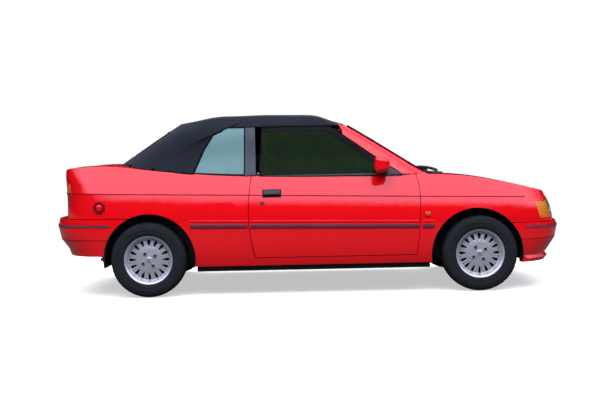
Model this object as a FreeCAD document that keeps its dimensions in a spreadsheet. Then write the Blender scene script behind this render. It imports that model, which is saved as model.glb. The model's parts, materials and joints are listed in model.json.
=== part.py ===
"""A two-door convertible car of about 1990 with its fabric top up, built as separate pieces.

The frame: +X points to the nose, +Y to the car's left, +Z up. The origin is on the ground,
half-way along the car and on its centre plane. All sizes are in millimetres.
"""

import FreeCAD, Part
import math
import os
import re
from types import SimpleNamespace
from FreeCAD import Placement, Rotation, Vector

doc = FreeCAD.newDocument("convertible_car")

# The driving dimensions, one row of the spreadsheet each
SIZES = {
    "overall_length": 4036,
    "half_width": 846,
    "overall_height": 1410,
    "wheelbase": 2525,
    "front_overhang": 713,
    "front_track": 1440,
    "rear_track": 1462,
    # Body side and shell
    "skin_step": 4,
    "door_thickness": 110,
    "tail_thickness": 60,
    "wing_thickness": 30,
    "lid_thickness": 28,
    "panel_gap": 5,
    "front_arch_radius": 350,
    "front_arch_shift": -24,
    "rear_arch_radius": 352,
    "rear_arch_shift": 12,
    "front_well_depth": 380,
    "rear_well_depth": 260,
    "liner_wall": 6,
    "sill_bottom": 232,
    "sill_top": 290,
    "floor_half_width": 720,
    # Doors
    "door_front": 842,
    "door_rear": -450,
    "door_bulge": 40,
    "door_turn": 44,
    "hinge_inset": 42,
    "hinge_barrel_radius": 62,
    "hinge_clearance": 5,
    # Bonnet, boot lid
    "bonnet_rear": 1062,
    "bonnet_half_width_front": 668,
    "bonnet_half_width_rear": 640,
    "bonnet_edge_height": 677,
    "deck_front": -1400,
    "lid_front": -1648,
    "lid_half_width": 590,
    "lid_bottom": 646,
    # Lamps and grille
    "lamp_bottom": 548,
    "lamp_top": 672,
    "lamp_depth": 70,
    "headlamp_inner": 322,
    "headlamp_outer": 612,
    "indicator_back": 1744,
    "tail_lamp_bottom": 696,
    "tail_lamp_top": 872,
    "tail_lamp_front": -1845,
    "tail_lamp_inner": 430,
    # Bumpers
    "bumper_wall": 46,
    "front_bumper_top": 515,
    "rear_bumper_top": 604,
    # Greenhouse
    "belt_height": 903,
    "top_wall": 22,
    "glass_thickness": 5,
    "header_x": 215,
    "header_height": 1343,
    "header_depth": 45,
    "glass_inset": 5,
    "window_top": 1285,
    "pillar_foot_x": 725,
    "pillar_middle_x": 520,
    "pillar_middle_height": 1040,
    "pillar_top_x": 178,
    "screen_half_bottom": 665,
    "screen_half_top": 520,
    "hoop_front": -392,
    "hoop_rear": -472,
    "pillar_gap": 18,
    "glass_gap": 23,
    "quarter_glass_length": 395,
    "roof_length": 1000,
    "rear_glass_half_width": 430,
    "rear_glass_bottom": 1075,
    "rear_glass_top": 1270,
    # Wheels
    "tyre_radius": 289,
    "tyre_width": 185,
    "rim_radius": 195,
    "bead_radius": 178,
    "rim_width": 165,
    "barrel_wall": 7,
    "face_radius": 163,
    "face_thickness": 16,
    "slot_count": 16,
    "slot_length": 50,
    "slot_width": 22,
    "slot_middle": 128,
    "nut_circle": 108,
    "nut_pocket_radius": 16,
    "hub_bore": 30,
    "disc_radius": 120,
    "disc_thickness": 20,
    "face_offset": 45,
    "hub_reach": 55,
    "nut_count": 4,
    "lid_barrel_inset": 22,
    "lid_barrel_radius": 32,
    "hinge_pin_radius": 5,
    "lug_reach": 60,
    "bonnet_lug_half": 520,
    "lid_lug_half": 420,
    # Running gear
    "bearing_gap": 0.1,
    "steer_axis_half": 640,
    "knuckle_radius": 20,
    "knuckle_reach": 95,
    "spring_radius": 48,
    "spring_half": 530,
    "shaft_radius": 14,
    "rear_arm_half": 560,
    "rear_arm_length": 220,
    # Floor and inner structure
    "inner_wing_half": 460,
    "inner_wing_top": 640,
    "floor_wall": 10,
    "bulkhead_x": 1010,
    "seat_wall_x": 1000,
    "tunnel_half": 110,
    "tunnel_top": 330,
    "boot_floor_height": 360,
    "flange_bottom": 189,
    "well_height": 850,
    "well_length": 520,
    # Engine, exhaust, tank
    "engine_length": 420,
    "engine_top": 660,
    "pipe_drop": 26,
    "pipe_radius": 22,
    "pipe_length": 2350,
    "pipe_back": 1500,
    "pipe_side": 250,
    "silencer_radius": 72,
    "silencer_length": 300,
    "tank_length": 300,
    "tank_half": 450,
    # Cabin
    "dash_back": 560,
    "dash_depth": 380,
    "dash_bottom": 560,
    "dash_top": 868,
    "column_angle": 24,
    "column_radius": 30,
    "column_length": 260,
    "driver_half": 360,
    "steering_x": 320,
    "steering_z": 800,
    "steering_radius": 180,
    "steering_rim": 14,
    "steering_hub": 40,
    "console_back": -250,
    "console_half": 75,
    "console_top": 410,
    "lever_x": 330,
    "lever_length": 110,
    "seat_front": 250,
    "seat_depth": 500,
    "seat_half": 240,
    "seat_bottom": 330,
    "seat_top": 455,
    "seat_round": 30,
    "seat_pad": 110,
    "backrest_lean": 150,
    "backrest_top": 940,
    "headrest_top": 1090,
    "rear_seat_front": -560,
    "rear_seat_half": 570,
    "mirror_x": 560,
    "mirror_depth": 100,
    "mirror_in": 800,
    "mirror_out": 975,
    "mirror_bottom": 925,
    "mirror_top": 1045,
    "mirror_foot": 60,
}

sheet = doc.addObject("Spreadsheet::Sheet", "sizes")
for row, (alias, number) in enumerate(SIZES.items(), start=1):
    sheet.set(f"A{row}", alias)
    sheet.set(f"B{row}", str(number))
    sheet.setAlias(f"B{row}", alias)
doc.recompute()
s = SimpleNamespace(**{alias: float(sheet.get(alias)) for alias in SIZES})

# Places that follow from the driving dimensions
half_length = s.overall_length / 2
front_axle = half_length - s.front_overhang
rear_axle = front_axle - s.wheelbase
x_middle = -0.075 * half_length
far = 2 * s.overall_length
LEFT, RIGHT = 1, -1
nodes = {}


def node(name, shape):
    """Adds one finished sub-part to the document."""
    part = doc.addObject("Part::Feature", name)
    part.Label = name
    part.Shape = shape
    nodes[name] = part
    return part


def bound(kind, name, at=("0", "0", "0"), turn=None, **formulas):
    """A Part object whose sizes and place follow the spreadsheet's cells, each named by its plain word."""
    part = doc.addObject(f"Part::{kind}", name)
    part.Label = name
    if turn is not None:
        part.Placement = Placement(Vector(), turn)
    places = zip(("Placement.Base.x", "Placement.Base.y", "Placement.Base.z"), at)
    for path, formula in [*places, *formulas.items()]:
        part.setExpression(path, re.sub(r"[a-z]\w*", r"sizes.\g<0>", formula))
    return part


def joined(name, pieces):
    """Several objects fused to one solid."""
    part = doc.addObject("Part::MultiFuse", name)
    part.Label = name
    part.Shapes = pieces
    part.Refine = True
    return part


def reflected(name, source):
    """The mirror image of an object, on the car's other side."""
    part = doc.addObject("Part::Mirroring", name)
    part.Label = name
    part.Source = source
    part.Normal = Vector(0, 1, 0)
    return part


def grouped(name, pieces):
    """Separate solids in one node."""
    part = doc.addObject("Part::Compound", name)
    part.Label = name
    part.Links = pieces
    return part


ALONG_X = Rotation(Vector(0, 1, 0), 90)
ALONG_Y = Rotation(Vector(1, 0, 0), -90)


def solids_of(shape):
    return list(shape.Solids)


def mirrored(shape):
    return shape.mirror(Vector(0, 0, 0), Vector(0, 1, 0))


def box(x0, x1, y0, y1, z0, z1):
    return Part.makeBox(x1 - x0, y1 - y0, z1 - z0, Vector(x0, y0, z0))


def side_prism(points, y0=None, y1=None):
    """A flat outline in the side view, extruded across the car."""
    y0 = -far if y0 is None else y0
    y1 = far if y1 is None else y1
    corners = [Vector(x, y0, z) for x, z in points]
    face = Part.Face(Part.makePolygon(corners + corners[:1]))
    return face.extrude(Vector(0, y1 - y0, 0))


def plan_prism(points, z0=None, z1=None):
    """A flat outline in the plan view, extruded upwards."""
    z0 = -far if z0 is None else z0
    z1 = far if z1 is None else z1
    corners = [Vector(x, y, z0) for x, y in points]
    face = Part.Face(Part.makePolygon(corners + corners[:1]))
    return face.extrude(Vector(0, 0, z1 - z0))


def across(radius, x, z, y0=None, y1=None):
    """A cylinder across the car."""
    y0 = -far if y0 is None else y0
    y1 = far if y1 is None else y1
    return Part.makeCylinder(radius, y1 - y0, Vector(x, y0, z), Vector(0, 1, 0))


# The body in plan: superellipse ends joined by gently tapering sides
FRONT_CORNER = (16, 3)
REAR_CORNER = (14, 2.8)
BODY_CORNERS = (FRONT_CORNER, REAR_CORNER)
INNER_POINTS = 28
side_taper = 0.083 * s.half_width
taper_start = 0.4 * half_length
OUTLINE_POINTS = 48
DENSE = 400


def end_points(end, corner, middle):
    """Dense points of one end of the plan outline, from the centre plane to the side."""
    p, q = corner
    reach = end - middle
    points = []
    for i in range(DENSE + 1):
        share = math.sin(math.pi / 2 * i / DENSE)
        if share < 0.9:
            points.append((middle + reach * (1 - share**q) ** (1 / p), share))
    last = (points[-1][0] - middle) / reach
    for i in range(1, DENSE // 2 + 1):
        share = last * (1 - 2 * i / DENSE)
        points.append((middle + reach * share, (1 - share**p) ** (1 / q)))
    return points


def evenly(points, count):
    """The same line with its points an equal distance apart."""
    lengths = [0.0]
    for (x0, y0), (x1, y1) in zip(points, points[1:]):
        lengths.append(lengths[-1] + math.hypot(x1 - x0, y1 - y0))
    spaced, j = [], 0
    for i in range(count + 1):
        goal = lengths[-1] * i / count
        while j < len(lengths) - 2 and lengths[j + 1] < goal:
            j += 1
        k = (goal - lengths[j]) / (lengths[j + 1] - lengths[j])
        (x0, y0), (x1, y1) = points[j], points[j + 1]
        spaced.append((x0 + k * (x1 - x0), y0 + k * (y1 - y0)))
    return spaced


def right_outline(half, nose, tail, corners, taper, count):
    """The right-hand half of a plan outline, from nose to tail, as evenly spaced points."""

    def width(x):
        past = max(0.0, (abs(x - x_middle) - taper_start) / (half_length - taper_start))
        return half - taper * past**2.2

    front = end_points(nose, corners[0], x_middle)
    rear = end_points(tail, corners[1], x_middle)
    dense = [(x, -share * width(x)) for x, share in front]
    dense += [(x, -share * width(x)) for x, share in reversed(rear[:-1])]
    return evenly(dense, count // 2)


def plan_wire(half, nose, tail, height, tilt=0.0, corners=BODY_CORNERS, taper=None):
    """One closed horizontal outline of the car, tilted so that it falls towards the nose."""
    taper = side_taper if taper is None else taper
    right = right_outline(half, nose, tail, corners, taper, OUTLINE_POINTS)
    left = [(x, -y) for x, y in reversed(right[1:-1])]
    places = [Vector(x, y, height - tilt * x) for x, y in right + left]
    curve = Part.BSplineCurve()
    curve.interpolate(Points=places, PeriodicFlag=True, Parameters=list(range(len(places) + 1)))
    return Part.Wire([curve.toShape()])


# Heights, half widths and ends of the lower body, as shares of the height, half width and half length
LOWER_BODY_SHARES = [
    (0.152, 0.953, 0.9663, 0.9415),
    (0.213, 0.980, 0.9712, 0.9465),
    (0.284, 0.994, 0.9752, 0.9539),
    (0.383, 1.000, 0.9816, 0.9604),
    (0.468, 0.991, 0.9752, 0.9614),
    (0.535, 0.972, 0.9574, 0.9643),
]
UPPER_BODY_SHARES = [
    (0.535, 0.972, 0.9574, 0.9643),
    (0.589, 0.946, 0.9390, 0.9690),
    (0.642, 0.915, 0.9170, 0.9725),
    (0.709, 0.872, 0.8870, 0.9640),
    (0.752, 0.842, 0.8700, 0.9540),
]
crease_tilt = 0.028
low_share, high_share = LOWER_BODY_SHARES[0][0], LOWER_BODY_SHARES[-1][0]


def body_loft(shares, inset, end_inset=None):
    end_inset = inset if end_inset is None else end_inset
    wires = []
    for height, half, nose, tail in shares:
        tilt = crease_tilt * min(1.0, (height - low_share) / (high_share - low_share))
        wires.append(
            plan_wire(
                half * s.half_width - inset,
                nose * half_length - end_inset,
                -tail * half_length + end_inset,
                height * s.overall_height,
                tilt,
            )
        )
    return Part.makeLoft(wires, True, False)


# The line over bonnet, waist and rear deck: share of half length, share of height
TOP_LINE_SHARES = [
    (-1.020, 0.560),
    (-0.988, 0.612),
    (-0.973, 0.655),
    (-0.955, 0.686),
    (-0.925, 0.702),
    (-0.870, 0.710),
    (-0.812, 0.7163),
    (-0.730, 0.7130),
    (-0.584, 0.6865),
    (-0.431, 0.6640),
    (-0.211, 0.6475),
    (0.000, 0.6418),
    (0.248, 0.6404),
    (0.416, 0.6390),
    (0.525, 0.6350),
    (0.626, 0.6220),
    (0.771, 0.5810),
    (0.880, 0.5430),
    (0.935, 0.5180),
    (0.960, 0.5000),
    (0.980, 0.4700),
    (1.000, 0.4200),
]
bonnet_crown = 0.022 * s.overall_height


def top_solid(drop=0.0):
    """All that lies below the bonnet, waist and rear deck, lowered by drop."""
    line = Part.BSplineCurve()
    line.interpolate([Vector(x * half_length, 0, z * s.overall_height - drop) for x, z in TOP_LINE_SHARES])
    first, last = line.FirstParameter, line.LastParameter
    steps = 40
    grid = []
    for i in range(steps + 1):
        at = line.value(first + (last - first) * i / steps)
        crown = bonnet_crown * min(1.0, max(0.0, (abs(at.x) / half_length - 0.42) / 0.3))
        row = []
        for j in range(-2, 3):
            across_share = j / 2
            height = at.z - crown * across_share**2 + crown / 2
            row.append(Vector(at.x, across_share * 1.1 * s.half_width, height))
        grid.append(row)
    surface = Part.BSplineSurface()
    surface.interpolate(grid)
    return surface.toShape().extrude(Vector(0, 0, -s.overall_height))


def arch_cuts():
    """The four wheel openings, each a cylinder across the body side."""
    cuts = []
    for axle, shift, radius, depth in (
        (front_axle, s.front_arch_shift, s.front_arch_radius, s.front_well_depth),
        (rear_axle, s.rear_arch_shift, s.rear_arch_radius, s.rear_well_depth),
    ):
        inner = s.half_width - depth
        right = across(radius, axle + shift, s.tyre_radius, -far, -inner)
        cuts += [right, mirrored(right)]
    return cuts


lower_outer = body_loft(LOWER_BODY_SHARES, 0)
upper_outer = body_loft(UPPER_BODY_SHARES, s.skin_step)
body_top = top_solid()
wheel_wells = Part.makeCompound(arch_cuts())
body_outer = lower_outer.fuse(upper_outer).common(body_top)


def faceted_wire(half, nose, tail, height, tilt):
    """The plan outline as a polygon, for the unseen inner faces."""
    right = right_outline(half, nose, tail, BODY_CORNERS, side_taper, INNER_POINTS)
    left = [(x, -y) for x, y in reversed(right[1:-1])]
    corners = [Vector(x, y, height - tilt * x) for x, y in right + left]
    return Part.makePolygon(corners + corners[:1])


INNER_ROWS_SHARES = [LOWER_BODY_SHARES[row] for row in (0, 3, 5)] + [UPPER_BODY_SHARES[row] for row in (2, 4)]


def hollow(thickness, drop=None):
    """The space inside the body side and under its top, with flat-sided walls."""
    drop = thickness if drop is None else drop
    wires = []
    for height, half, nose, tail in INNER_ROWS_SHARES:
        wires.append(
            faceted_wire(
                half * s.half_width - thickness,
                nose * half_length - thickness,
                thickness - tail * half_length,
                height * s.overall_height,
                0,
            )
        )
    lowered = drop + bonnet_crown / 2
    line = [(x * half_length, z * s.overall_height - lowered) for x, z in TOP_LINE_SHARES[::2]]
    below = side_prism([(-far, -far)] + [(-far, line[0][1])] + line + [(far, line[-1][1]), (far, -far)])
    return Part.makeLoft(wires, True, True).common(below)


def right_half(shape):
    return shape.common(box(-far, far, -far, 0, -far, far))


def pair(name, right):
    """A right-hand piece and its mirror image, as one node."""
    return node(name, Part.makeCompound(solids_of(right) + solids_of(mirrored(right))))


def spline_edge(points):
    curve = Part.BSplineCurve()
    curve.interpolate([Vector(x, 0, z) for x, z in points])
    return curve.toShape()


def line_edge(a, b):
    return Part.makeLine(Vector(a[0], 0, a[1]), Vector(b[0], 0, b[1]))


# The door hinge: the front shut face is turned about the hinge line, its radius by height as shares
gap = s.panel_gap
hinge_x = s.door_front - math.sqrt(s.hinge_barrel_radius**2 - s.hinge_inset**2)
hinge_y = s.hinge_inset - s.half_width
HINGE_POST_SHARES = [
    (0.170, 0.48),
    (0.206, 0.48),
    (0.318, 0.87),
    (0.397, 0.98),
    (0.519, 0.87),
    (0.629, 0.77),
    (0.700, 0.77),
]


def hinge_post(extra):
    """The room that the door's front edge turns in, made larger by extra."""
    rows = [
        (share * s.hinge_barrel_radius + extra, height * s.overall_height)
        for height, share in HINGE_POST_SHARES
    ]
    foot, head = (0, rows[0][1]), (0, rows[-1][1])
    edges = [line_edge(foot, rows[0]), line_edge(rows[0], rows[1]), spline_edge(rows[1:-1])]
    edges += [line_edge(rows[-2], rows[-1]), line_edge(rows[-1], head), line_edge(head, foot)]
    post = Part.Face(Part.Wire(edges)).revolve(Vector(0, 0, 0), Vector(0, 0, 1), 360)
    return post.translated(Vector(hinge_x, hinge_y, 0))


def door_edge(x, bulge, low_turn, raised):
    """Four places from the waist down to the sill along the door's rear edge."""
    top, sill = s.belt_height, s.sill_top + raised
    rise = top - sill
    return [(x - bulge / 2, top), (x, top - 0.3 * rise), (x, top - 0.6 * rise), (x + low_turn, sill)]


def door_prism(shrink):
    """The door's outline in the side view, made smaller by shrink, as a prism on the right."""
    front = hinge_x + 1.2 * s.hinge_barrel_radius
    rear = [(x + shrink, z) for x, z in door_edge(s.door_rear, -s.door_bulge, s.door_turn, shrink)]
    top = 1.1 * s.belt_height
    edges = [
        line_edge((front, top), (front, rear[-1][1])),
        line_edge((front, rear[-1][1]), rear[-1]),
        spline_edge(rear[::-1]),
        line_edge(rear[0], (rear[0][0], top)),
        line_edge((rear[0][0], top), (front, top)),
    ]
    face = Part.Face(Part.Wire(edges))
    face.translate(Vector(0, -far, 0))
    return face.extrude(Vector(0, far, 0))


hinge_room = hinge_post(s.hinge_clearance)
door_inner = s.half_width - s.door_thickness
door_hollow = box(-far, far, -door_inner, 0, -far, far)
well_half, well_tail = 0.838 * s.half_width, 0.755 * half_length
well_side = right_outline(well_half, half_length, -well_tail, ((20, 2), (8, 2.2)), side_taper, INNER_POINTS)
top_outline = plan_prism(well_side + [(x, -y) for x, y in reversed(well_side[1:-1])])
quarter_hollow = hollow(s.tail_thickness, s.lid_thickness)
wing_back = hinge_x
lid_hollow = hollow(s.lid_thickness)
door_hole = door_prism(0)
body_right = right_half(body_outer)
bumper_front_zone = box(0, far, -far, far, -far, s.front_bumper_top + gap)
bumper_rear_zone = box(-far, rear_axle, -far, far, -far, s.rear_bumper_top + gap)


# Bonnet
def bonnet_block(grow):
    front = s.bonnet_half_width_front + grow
    rear = s.bonnet_half_width_rear + grow
    back = s.bonnet_rear - s.lid_barrel_radius - grow
    return plan_prism([(back, -rear), (half_length, -front), (half_length, front), (back, rear)],
                      s.bonnet_edge_height - grow)


def top_height(x):
    """Height of the top line above one place on the centre plane, between its table rows."""
    rows = [(a * half_length, b * s.overall_height) for a, b in TOP_LINE_SHARES]
    for (x0, z0), (x1, z1) in zip(rows, rows[1:]):
        if x0 <= x <= x1:
            return z0 + (z1 - z0) * (x - x0) / (x1 - x0)
    raise ValueError("outside the top line")


bonnet_hinge_x = s.bonnet_rear + s.lid_barrel_inset
bonnet_hinge_z = top_height(bonnet_hinge_x) - s.lid_barrel_inset
lid_hinge_x = s.lid_front - s.lid_barrel_inset
lid_hinge_z = top_height(lid_hinge_x) + bonnet_crown / 2 - s.lid_barrel_inset


def lid_barrel(x, z, extra):
    return across(s.lid_barrel_radius + extra, x, z)


def hinge_pins(x, z, reach, y):
    """Two lugs with pins for a lid that turns about an axis across the car, and the room they need."""
    pin, width = s.hinge_pin_radius, s.hinge_pin_radius
    lugs, room = [], []
    for side in (-y, y):
        lug = box(min(x, x + reach), max(x, x + reach), side - width, side + width, z - 2 * pin, z + 2 * pin)
        lug = lug.fuse(across(2 * pin, x, z, side - width, side + width))
        lug = lug.fuse(across(pin, x, z, side - 4 * width, side + 4 * width))
        lugs.append(lug)
        half_room = width + gap
        gap_room = across(s.lid_barrel_radius + s.hinge_clearance, x, z, side - half_room, side + half_room)
        room.append(gap_room.fuse(across(pin + s.bearing_gap, x, z, side - 4.2 * width, side + 4.2 * width)))
    return Part.makeCompound(lugs), Part.makeCompound(room)


bonnet_lugs, bonnet_pin_room = hinge_pins(bonnet_hinge_x, bonnet_hinge_z, -s.lug_reach, s.bonnet_lug_half)
lid_lugs, lid_pin_room = hinge_pins(lid_hinge_x, lid_hinge_z, s.lug_reach, s.lid_lug_half)
bonnet_zone = box(bonnet_hinge_x, far, -far, far, -far, far)
bonnet_zone = bonnet_zone.fuse(lid_barrel(bonnet_hinge_x, bonnet_hinge_z, 0))
bonnet_barrel_room = lid_barrel(bonnet_hinge_x, bonnet_hinge_z, s.hinge_clearance)
lid_barrel_room = lid_barrel(lid_hinge_x, lid_hinge_z, s.hinge_clearance)
node("bonnet", body_outer.common(bonnet_block(0)).common(bonnet_zone).cut(lid_hollow).cut(bonnet_pin_room))


# Boot lid: the top of the tail and the panel between the tail lamps
def lid_block(grow):
    half = s.lid_half_width + grow
    lower = s.tail_lamp_inner + grow - gap
    front = s.lid_front + s.lid_barrel_radius + grow
    upper_part = box(-far, front, -half, half, s.tail_lamp_top + gap - grow, far)
    return upper_part.fuse(box(-far, s.tail_lamp_front + grow, -lower, lower, s.lid_bottom - grow, far))


lid_zone = box(-far, lid_hinge_x, -far, far, -far, far).fuse(lid_barrel(lid_hinge_x, lid_hinge_z, 0))
node("boot_lid", body_outer.common(lid_block(0)).common(lid_zone).cut(lid_hollow).cut(lid_pin_room))


# Lamps let into the corners
def front_lamp_block(grow, inner, outer):
    """A block for a lamp in the nose, between two distances from the centre plane."""
    x = s.indicator_back - grow
    block = side_prism([
        (x, s.lamp_top + grow), (x + 0.06 * s.lamp_top, s.lamp_bottom - grow),
        (far, s.lamp_bottom - grow), (far, s.lamp_top + grow)
    ], -outer, -inner)
    return block


lamp_hollow = hollow(s.lamp_depth, 0)
indicator_room = front_lamp_block(0, s.headlamp_outer + gap, far)
pair("headlamps", body_right.common(front_lamp_block(0, s.headlamp_inner, s.headlamp_outer)).cut(lamp_hollow))
pair("front_indicators", body_right.common(indicator_room).cut(lamp_hollow))
tail_room = side_prism([
    (s.tail_lamp_front, s.tail_lamp_top), (s.tail_lamp_front + 0.4 * gap, s.tail_lamp_bottom),
    (-far, s.tail_lamp_bottom), (-far, s.tail_lamp_top)
], -far, -s.tail_lamp_inner)
pair("tail_lamps", body_right.common(tail_room).cut(lamp_hollow))

# Front wing, from the door to the nose
wing = body_right.common(box(wing_back, far, -far, 0, s.sill_bottom, far))
wing = wing.cut(hollow(s.wing_thickness, s.lid_thickness))
scuttle_inner = s.bonnet_half_width_rear + gap
wing = wing.cut(bonnet_block(gap))
wing = wing.cut(box(-far, s.bonnet_rear, -scuttle_inner, scuttle_inner, -far, far))
wing = wing.cut(hinge_room.common(box(-far, far, -far, 0, s.sill_top, far)))
wing = wing.cut(box(s.indicator_back, far, -scuttle_inner, 0, -far, far)).cut(indicator_room)
wing = wing.cut(bumper_front_zone.common(box(front_axle + s.front_arch_shift, far, -far, far, -far, far)))
wing = wing.cut(wheel_wells)
pair("front_wings", wing)

# Door
door = body_right.common(door_prism(gap)).cut(door_hollow)
door = door.common(box(-far, hinge_x, -far, 0, -far, far).fuse(hinge_post(0)))
node("door_right", door)
node("door_left", mirrored(door))

# Quarter panel, from the door to the tail
quarter = body_right.common(box(-far, s.door_rear + s.door_turn + gap, -far, 0, s.sill_bottom, far))
quarter = quarter.cut(quarter_hollow).cut(door_hole)
quarter = quarter.cut(bumper_rear_zone.cut(box(rear_axle, far, -far, far, -far, far)))
deck_room = box(s.lid_front, s.deck_front, -s.lid_half_width - gap, 0, -far, far)
quarter = quarter.cut(lid_block(gap)).cut(deck_room)
quarter = quarter.cut(box(-far, s.deck_front, -s.tail_lamp_inner, 0, -far, s.lid_bottom))
quarter = quarter.cut(top_outline)
quarter = quarter.cut(tail_room).cut(wheel_wells)
pair("quarter_panels", quarter)

# Sill below the door
sill = body_right.common(box(s.door_rear + s.door_turn + gap, wing_back, -far, 0, s.sill_bottom, s.sill_top))
sill = sill.cut(box(-far, far, -s.floor_half_width, 0, -far, far))
pair("sills", sill)

# Rear deck strip and the panel under the boot lid
tail_inner = s.lid_half_width + gap
deck_zone = box(lid_hinge_x, s.deck_front, -tail_inner, tail_inner, s.rear_bumper_top, far)
deck = body_outer.common(deck_zone).cut(quarter_hollow).cut(lid_barrel_room).cut(top_outline)
node("rear_deck", deck.fuse(lid_lugs))
rear_zone = box(-far, s.deck_front, -s.tail_lamp_inner, s.tail_lamp_inner,
                s.rear_bumper_top + gap, s.lid_bottom - gap)
node("rear_panel", body_outer.common(rear_zone).cut(lid_hollow))

# Scuttle in front of the windscreen, and the strip under the front lamps
scuttle_zone = box(s.door_front, bonnet_hinge_x, -scuttle_inner, scuttle_inner, s.sill_top, far)
node("scuttle", body_outer.common(scuttle_zone).cut(lid_hollow).cut(bonnet_barrel_room).fuse(bonnet_lugs))
strip_zone = box(s.indicator_back, far, -scuttle_inner, scuttle_inner,
                 s.front_bumper_top + gap, s.lamp_bottom)
wing_hollow = hollow(s.wing_thickness, s.lid_thickness)
node("front_panel", body_outer.common(strip_zone).cut(wing_hollow))

# Grille between the headlamps
grille_zone = box(front_axle, far, -s.headlamp_inner, s.headlamp_inner, s.lamp_bottom, s.lamp_top)
grille = body_outer.common(grille_zone).cut(wing_hollow)
slot_height = (s.lamp_top - s.lamp_bottom) / 7
for row in (1, 3, 5):
    z = s.lamp_bottom + row * slot_height
    half = s.headlamp_inner - slot_height
    grille = grille.cut(box(front_axle, far, -half, half, z, z + slot_height))
node("grille", grille)

# Bumpers: height share, half-width share, end share
FRONT_BUMPER_SHARES = [
    (0.151, 0.9988, 0.949),
    (0.170, 0.9988, 0.959),
    (0.186, 0.9953, 0.949),
    (0.213, 1.0000, 0.964),
    (0.268, 1.0059, 0.9895),
    (0.336, 1.0083, 1.000),
    (0.3652, 1.0024, 0.994),
]
REAR_BUMPER_SHARES = [
    (0.228, 0.9953, 0.9525),
    (0.260, 1.0000, 0.9594),
    (0.316, 1.0059, 0.989),
    (0.384, 1.0083, 1.000),
    (0.428, 1.0024, 0.994),
]


def bumper_loft(shares, inset, front):
    wires = []
    for height, half, end in shares:
        nose = (end if front else 0.9) * half_length - inset
        tail = inset - (0.9 if front else end) * half_length
        wires.append(plan_wire(half * s.half_width - inset, nose, tail, height * s.overall_height))
    return Part.makeLoft(wires, True, True)


def bumper(shares, front):
    """One end of the loft, hollow inside and cut off at the wheel arch."""
    shell = bumper_loft(shares, 0, front)
    heights = [row[0] * s.overall_height for row in shares]
    low, high = min(heights), max(heights)
    middle_row = sorted(shares, key=lambda row: abs(row[0] - (shares[0][0] + shares[-1][0]) / 2))[0]
    half = middle_row[1] * s.half_width - s.bumper_wall
    end = min(row[2] for row in shares) * half_length - s.bumper_wall
    if front:
        outline = right_outline(half, end, -0.9 * half_length, BODY_CORNERS, side_taper, INNER_POINTS)
        zone = box(front_axle, far, -far, far, -far, far)
    else:
        outline = right_outline(half, 0.9 * half_length, -end, BODY_CORNERS, side_taper, INNER_POINTS)
        zone = box(-far, rear_axle, -far, far, -far, far)
    outline += [(x, -y) for x, y in reversed(outline[1:-1])]
    inner = plan_prism(outline, low - s.bumper_wall, high + s.bumper_wall)
    return shell.common(zone).cut(inner).cut(wheel_wells), inner


front_bumper, front_bumper_room = bumper(FRONT_BUMPER_SHARES, True)
rear_bumper, rear_bumper_room = bumper(REAR_BUMPER_SHARES, False)
node("front_bumper", front_bumper)
node("rear_bumper", rear_bumper)

# Greenhouse: share of height, half-width share, front end and rear end as shares of half length
GREENHOUSE_SHARES = [
    (0.610, 0.925, 0.533, -0.888),
    (0.709, 0.867, 0.414, -0.773),
    (0.816, 0.794, 0.289, -0.660),
    (0.915, 0.719, 0.172, -0.554),
    (0.950, 0.662, 0.130, -0.516),
    (1.010, 0.560, 0.060, -0.452),
]
ROOF_LINE_SHARES = [
    (0.600, 0.810),
    (0.420, 0.860),
    (0.223, 0.915),
    (0.149, 0.9433),
    (0.1065, 0.9575),
    (0.086, 0.976),
    (0.050, 0.987),
    (-0.038, 0.9985),
    (-0.140, 1.000),
    (-0.248, 0.9995),
    (-0.341, 0.996),
    (-0.406, 0.984),
    (-0.496, 0.960),
    (-0.545, 0.945),
    (-0.700, 0.890),
    (-0.880, 0.820),
]
GREENHOUSE_CORNERS = ((20, 2), (8, 2.2))
roof_crown = 0.032 * s.overall_height


def roof_solid(drop):
    """All that lies below the fabric roof, lowered by drop."""
    line = Part.BSplineCurve()
    line.interpolate([Vector(x * half_length, 0, z * s.overall_height - drop) for x, z in ROOF_LINE_SHARES])
    first, last = line.FirstParameter, line.LastParameter
    steps = 24
    grid = []
    for i in range(steps + 1):
        at = line.value(first + (last - first) * i / steps)
        grid.append([
            Vector(at.x, j / 2 * s.half_width, at.z - 2 * roof_crown * (j / 2)**2) for j in range(-2, 3)
        ])
    surface = Part.BSplineSurface()
    surface.interpolate(grid)
    return surface.toShape().extrude(Vector(0, 0, -s.overall_height))


def greenhouse(inset):
    """The solid shape of the cabin above the waist, made smaller all round by inset."""
    wires = [
        plan_wire(
            half * s.half_width - inset,
            front * half_length - inset * 1.6,
            rear * half_length + inset * 1.3,
            height * s.overall_height,
            corners=GREENHOUSE_CORNERS,
        )
        for height, half, front, rear in GREENHOUSE_SHARES
    ]
    return Part.makeLoft(wires, True, False).common(roof_solid(inset))


def cabin_space(inset):
    """The room inside the greenhouse, with flat-sided walls."""
    wires = []
    for height, half, front, rear in GREENHOUSE_SHARES:
        right = right_outline(half * s.half_width - inset, front * half_length - inset * 1.6,
                              rear * half_length + inset * 1.3, GREENHOUSE_CORNERS, side_taper, INNER_POINTS)
        left = [(x, -y) for x, y in reversed(right[1:-1])]
        corners = [Vector(x, y, height * s.overall_height) for x, y in right + left]
        wires.append(Part.makePolygon(corners + corners[:1]))
    sections = []
    for x_share, z_share in ROOF_LINE_SHARES:
        x, z = x_share * half_length, z_share * s.overall_height - inset
        top_row = [(y, z - 2 * roof_crown * (y / s.half_width)**2) for y in
                   [k / 3 * s.half_width for k in range(-3, 4)]]
        corners = [Vector(x, y, z) for y, z in [(-s.half_width, 0)] + top_row + [(s.half_width, 0)]]
        sections.append(Part.makePolygon(corners + corners[:1]))
    below_roof = Part.makeLoft(sections, True, True)
    return Part.makeLoft(wires, True, True).common(below_roof)


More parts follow.
